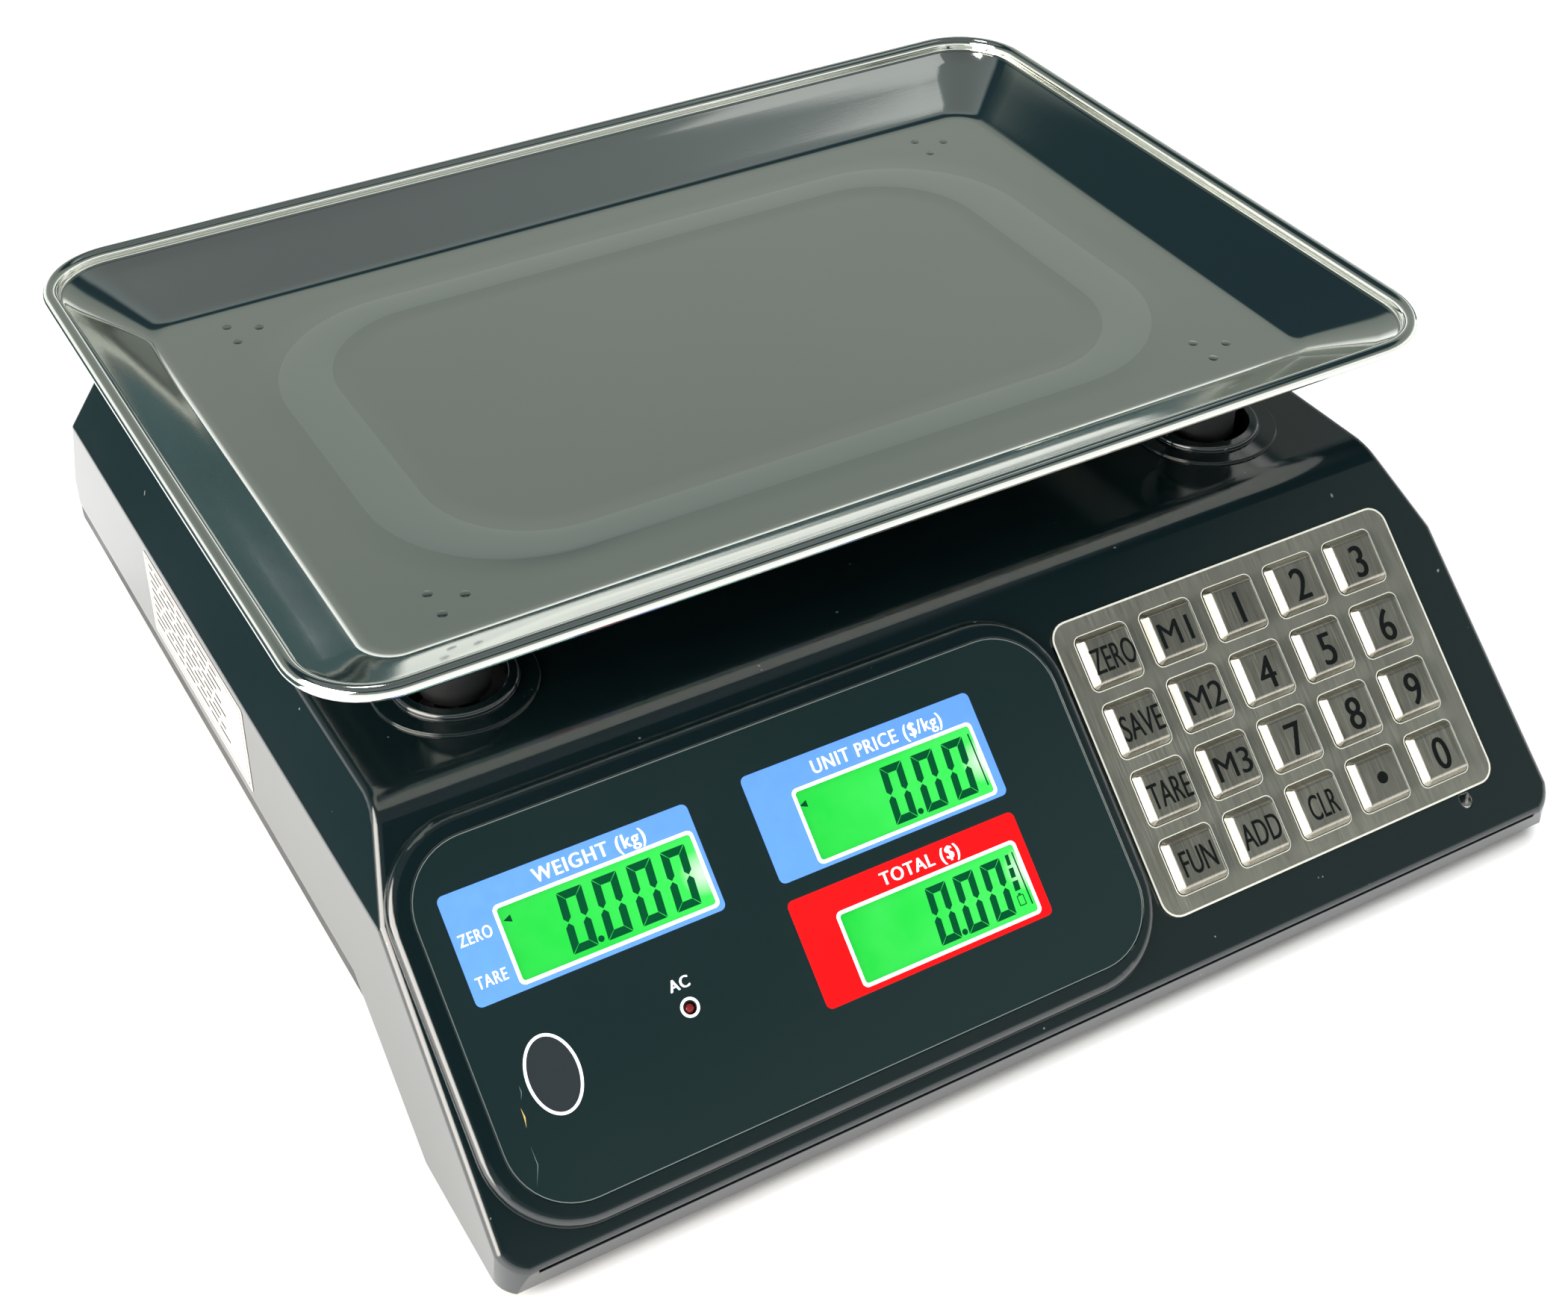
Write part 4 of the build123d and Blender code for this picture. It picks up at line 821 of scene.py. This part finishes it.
def fillet_rings():
    """The curve from the floor into the wall, with closer rings at its foot."""
    rings = []
    for step in range(FILLET_STEPS + 1):
        lift = FILLET_LIFT * (step / FILLET_STEPS) ** 2
        inset_x = fillet_inset(WALL_X, WALL_SLOPE_X, lift)
        inset_y = fillet_inset(WALL_Y, WALL_SLOPE_Y, lift)
        share = (inset_x - LIP_INSET) / (WALL_X - LIP_INSET)
        corner = LIP_CORNER + (FLOOR_CORNER - LIP_CORNER) * share
        rings.append(pan_ring(inset_x, inset_y, FLOOR_Z + lift, corner))
    return rings


def rim_rings():
    """The lip above the wall and the rolled rim outside it."""
    rings = [
        pan_ring(LIP_INSET + inset, LIP_INSET + inset, LIP_Z + rise, LIP_CORNER - inset)
        for inset, rise in ((0.9, -0.25), (0.4, 0.1), (0.0, 0.28), (-0.4, 0.2))
    ]
    for step in range(BEAD_STEPS + 1):
        angle = math.radians(BEAD_START + BEAD_TURN * step / BEAD_STEPS)
        inset = BEAD + BEAD * math.cos(angle)
        rings.append(pan_ring(inset, inset, PAN_TOP - BEAD + BEAD * math.sin(angle), PAN_CORNER - inset))
    return rings


def underside_rings():
    """The sheet's lower side, from the lip in to the middle of the floor."""
    lip_inset = LIP_INSET - UNDER_OUT
    rings = [pan_ring(lip_inset, lip_inset, LIP_Z - SHEET, LIP_CORNER + UNDER_OUT)]
    rings += [wall_ring(share, UNDER_OUT, UNDER_DOWN) for share in (0.08, 0.3, 0.6, 0.9)]
    rings.append(pan_ring(WALL_X - SHEET, WALL_Y - SHEET, FLOOR_Z - SHEET, FLOOR_CORNER + SHEET))
    for half_length, half_width, corner in ((131, 80, 44), (100, 56, 28), (60, 34, 16), (8, 6, 5)):
        rings.append(centred_ring(half_length, half_width, FLOOR_Z - SHEET, corner))
    return rings


def pan_mesh():
    """Joins the rings, from the middle of the floor over the rim and back below, into a closed mesh."""
    rings = []
    for half_length, half_width, corner, rise in BAND_RINGS:
        rings.append(centred_ring(half_length, half_width, FLOOR_Z + rise, corner))
    rings += fillet_rings()
    rings += [wall_ring(share) for share in (0.8, 0.6, 0.4, 0.2)]
    rings += rim_rings()
    rings += underside_rings()
    points = [point for ring in rings for point in ring]
    faces = []
    for level in range(len(rings) - 1):
        here = level * RING_POINTS
        above = here + RING_POINTS
        for index in range(RING_POINTS):
            following = (index + 1) % RING_POINTS
            faces.append((here + index, above + index, above + following, here + following))
    faces.append(tuple(range(RING_POINTS)))
    last = (len(rings) - 1) * RING_POINTS
    faces.append(tuple(last + index for index in reversed(range(RING_POINTS))))
    mesh = bpy.data.meshes.new("pan_sheet")
    mesh.from_pydata(points, [], faces)
    mesh.update()
    mesh.shade_smooth()
    return mesh


def mark_band(piece):
    """Makes the pressed band brighter than the rest of the sheet."""
    piece.data.materials.append(materials["band_steel"])
    for face in piece.data.polygons[BAND_FIRST * RING_POINTS:BAND_LAST * RING_POINTS]:
        face.material_index = 1


def weld_mesh():
    """Low domes of spot welds, three above each locating cup."""
    points = []
    faces = []
    for post_x, post_y in POSTS:
        for number in range(3):
            turn = 2 * math.pi * number / 3
            x = post_x + WELD_CIRCLE_R * math.cos(turn)
            y = post_y + WELD_CIRCLE_R * math.sin(turn)
            top = len(points)
            points.append(Vector((x, y, FLOOR_Z + WELD_RISE)) * MM)
            for radius_share, rise_share in WELD_PROFILE:
                ring = circle(WELD_R * radius_share, x, y, WELD_SIDES)
                points += [Vector((px, py, FLOOR_Z + WELD_RISE * rise_share)) * MM for px, py in ring]
            for side in range(WELD_SIDES):
                following = (side + 1) % WELD_SIDES
                faces.append((top, top + 1 + side, top + 1 + following))
                for level in range(len(WELD_PROFILE) - 1):
                    inner = top + 1 + level * WELD_SIDES
                    outer = inner + WELD_SIDES
                    faces.append((inner + side, outer + side, outer + following, inner + following))
    mesh = bpy.data.meshes.new("weld_marks")
    mesh.from_pydata(points, [], faces)
    mesh.update()
    mesh.shade_smooth()
    return mesh


pan_sheet = add_piece("pan_sheet", pan_mesh(), "pan_steel", "pan")
mark_band(pan_sheet)
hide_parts("pan")
add_piece("weld_marks", weld_mesh(), "weld_steel", "pan")


# ---------------------------------------------------------------- rating label on the left wall
WALL_FOOT = (-167.8, 6.0)  # x and z of the wall's lower edge
WALL_LEAN = 2.3 / 66.0  # inward, as a share of the height
LABEL_SIZE = (86, 29, 1.0)
LABEL_BORDER = (82.5, 26.5, 1.0)
LABEL_BORDER_HOLE = (81.9, 25.9, 0.8)
LABEL_THICK = 0.1
LABEL_ROWS = 8
LABEL_ROW_PITCH = 2.9
LABEL_FIRST_ROW = 11.2
LABEL_LEFT = -39.0
BARS_PER_ROW = 7
BAR_HEIGHT = 0.9
BAR_GAP = 1.6


def on_left_wall(back, height, rise):
    """A spot on the left wall: back along +Y and up from the table, mm."""
    across = Vector((0, -1, 0))
    up = Vector((WALL_LEAN, 0, 1)).normalized()
    origin = (WALL_FOOT[0] + WALL_LEAN * (height - WALL_FOOT[1]), back, height)
    return plane_matrix(origin, across, up, across.cross(up), 0, rise, 0)


label_at = on_left_wall(39.0, 55.0, 0.05)
flat_shape(
    "rating_label", [rounded(*LABEL_SIZE)], label_at, LABEL_THICK, "label_paper", "base"
)
label_lines = []
for row in range(LABEL_ROWS):
    y = LABEL_FIRST_ROW - row * LABEL_ROW_PITCH
    start = LABEL_LEFT
    for number in range(BARS_PER_ROW):
        end = start + 4.0 + (row * 5 + number * 3) % 8  # bars of uneven length stand for words
        label_lines.append([(start, y), (end, y), (end, y + BAR_HEIGHT), (start, y + BAR_HEIGHT)])
        start = end + BAR_GAP
label_lines += [rounded(*LABEL_BORDER), rounded(*LABEL_BORDER_HOLE)]
flat_shape(
    "rating_lines", label_lines, label_at @ Matrix.Translation((0, 0, LABEL_THICK * MM)), 0.02,
    DARK_INK, "base",
)


# ---------------------------------------------------------------- stage, lights and camera
STAGE_HALF = 1.8  # metres


def mottled_material(name, roughness, specular, cell, darker, lighter):
    """Paper or card whose colour wanders between two shades."""
    made, tree, shader = new_material(name, lighter, roughness, specular=specular)
    mottled = tint(tree, noise(tree, cell, detail=3), darker, lighter)
    tree.links.new(mottled, shader.inputs["Base Color"])
    return made


def build_stage():
    """The pale floor."""
    half = STAGE_HALF
    corners = [(-half, -half, 0), (half, -half, 0), (half, half, 0), (-half, half, 0)]
    mesh = bpy.data.meshes.new("stage_floor")
    mesh.from_pydata(corners, [], [(0, 1, 2, 3)])
    floor = bpy.data.objects.new("stage_floor", mesh)
    bpy.context.scene.collection.objects.link(floor)
    pale = mottled_material("stage_floor", 0.55, 0.5, 3, linear(234, 235, 236), linear(242, 243, 244))
    mesh.materials.append(pale)


def build_card(name, corners):
    """A dark card on the stage, seen only as a reflection in bright metal and gloss."""
    mesh = bpy.data.meshes.new(name)
    mesh.from_pydata(corners, [], [(0, 1, 2, 3)])
    card = bpy.data.objects.new(name, mesh)
    bpy.context.scene.collection.objects.link(card)
    cloth = mottled_material(f"{name}_cloth", 0.8, 0.0, 6, linear(36, 52, 56), linear(58, 76, 80))
    mesh.materials.append(cloth)
    card.visible_camera = False
    card.visible_diffuse = False
    card.visible_shadow = False


def soft_light(name, place, target, size, power, colour=(1, 1, 1), seen_in_gloss=True):
    """A rectangular soft box aimed at a point."""
    data = bpy.data.lights.new(name, "AREA")
    data.shape = "RECTANGLE"
    data.size, data.size_y = size
    data.energy = power
    data.color = colour
    lamp = bpy.data.objects.new(name, data)
    bpy.context.scene.collection.objects.link(lamp)
    lamp.location = place
    lamp.rotation_euler = (Vector(target) - Vector(place)).to_track_quat("-Z", "Y").to_euler()
    lamp.visible_glossy = seen_in_gloss


# brightness of the room by elevation in degrees, as colours to be multiplied by ROOM_STRENGTH
ROOM_STRENGTH = 1.6
ROOM = (
    (0, (0.9, 0.9, 0.92)),
    (13, (0.85, 0.87, 0.88)),
    (21, (0.203, 0.222, 0.211)),
    (39.5, (0.135, 0.157, 0.15)),
    (43, (0.014, 0.029, 0.036)),
    (52, (0.012, 0.025, 0.032)),
    (56, (0.125, 0.148, 0.155)),
    (90, (0.085, 0.095, 0.1)),
)


def build_world():
    """A studio that is bright low down, grey-green above that and dark overhead."""
    world = bpy.data.worlds.new("studio")
    world.use_nodes = True
    tree = world.node_tree
    direction = tree.nodes.new("ShaderNodeTexCoord")
    split = tree.nodes.new("ShaderNodeSeparateXYZ")
    ramp = tree.nodes.new("ShaderNodeValToRGB")
    stops = ramp.color_ramp.elements
    while len(stops) < len(ROOM):
        stops.new(1.0)
    for stop, (elevation, colour) in zip(stops, ROOM):
        stop.position = math.sin(math.radians(elevation))
        stop.color = (*colour, 1.0)
    tree.links.new(direction.outputs["Generated"], split.inputs["Vector"])
    tree.links.new(split.outputs["Z"], ramp.inputs["Fac"])
    tree.links.new(ramp.outputs["Color"], tree.nodes["Background"].inputs["Color"])
    tree.nodes["Background"].inputs["Strength"].default_value = ROOM_STRENGTH
    bpy.context.scene.world = world


def build_camera():
    """The photograph's view: position in metres and axes right, up and back."""
    data = bpy.data.cameras.new("camera")
    data.sensor_width = 36.0
    data.lens = 52.79
    camera = bpy.data.objects.new("camera", data)
    bpy.context.scene.collection.objects.link(camera)
    right = Vector((0.8676, -0.49723, -0.00518)).normalized()
    up = Vector((0.31376, 0.53932, 0.78147)).normalized()
    axes = Matrix((right, up, right.cross(up))).transposed().to_4x4()
    camera.matrix_world = Matrix.Translation((-0.27269, -0.48869, 0.46698)) @ axes
    bpy.context.scene.camera = camera


build_stage()
build_card("stage_card_standing", [(0.1, 1.1, 0), (1.3, 0.3, 0), (1.3, 0.3, 0.3), (0.1, 1.1, 0.3)])
build_card("stage_card_lying", [(-0.27, 0, 0.003), (-0.27, 1.2, 0.003), (-1.2, 1.2, 0.003), (-1.2, 0, 0.003)])
build_world()
build_camera()
soft_light("flood", (0.3, -0.3, 2.6), (0, 0, 0), (2.6, 2.6), 92, seen_in_gloss=False)
soft_light("left_box", (-1.5, -0.3, 0.72), (0, 0, 0.09), (1.5, 1.4), 70, (1.0, 0.94, 0.87))
soft_light("corner_box", (-0.1, 0.56, 1.9), (0, 0, 0.12), (0.3, 0.26), 4)
soft_light("patch_box", (1.0, 0.26, 1.72), (0, 0, 0.12), (0.34, 0.4), 0.16)
bpy.context.scene.view_settings.view_transform = "Standard"
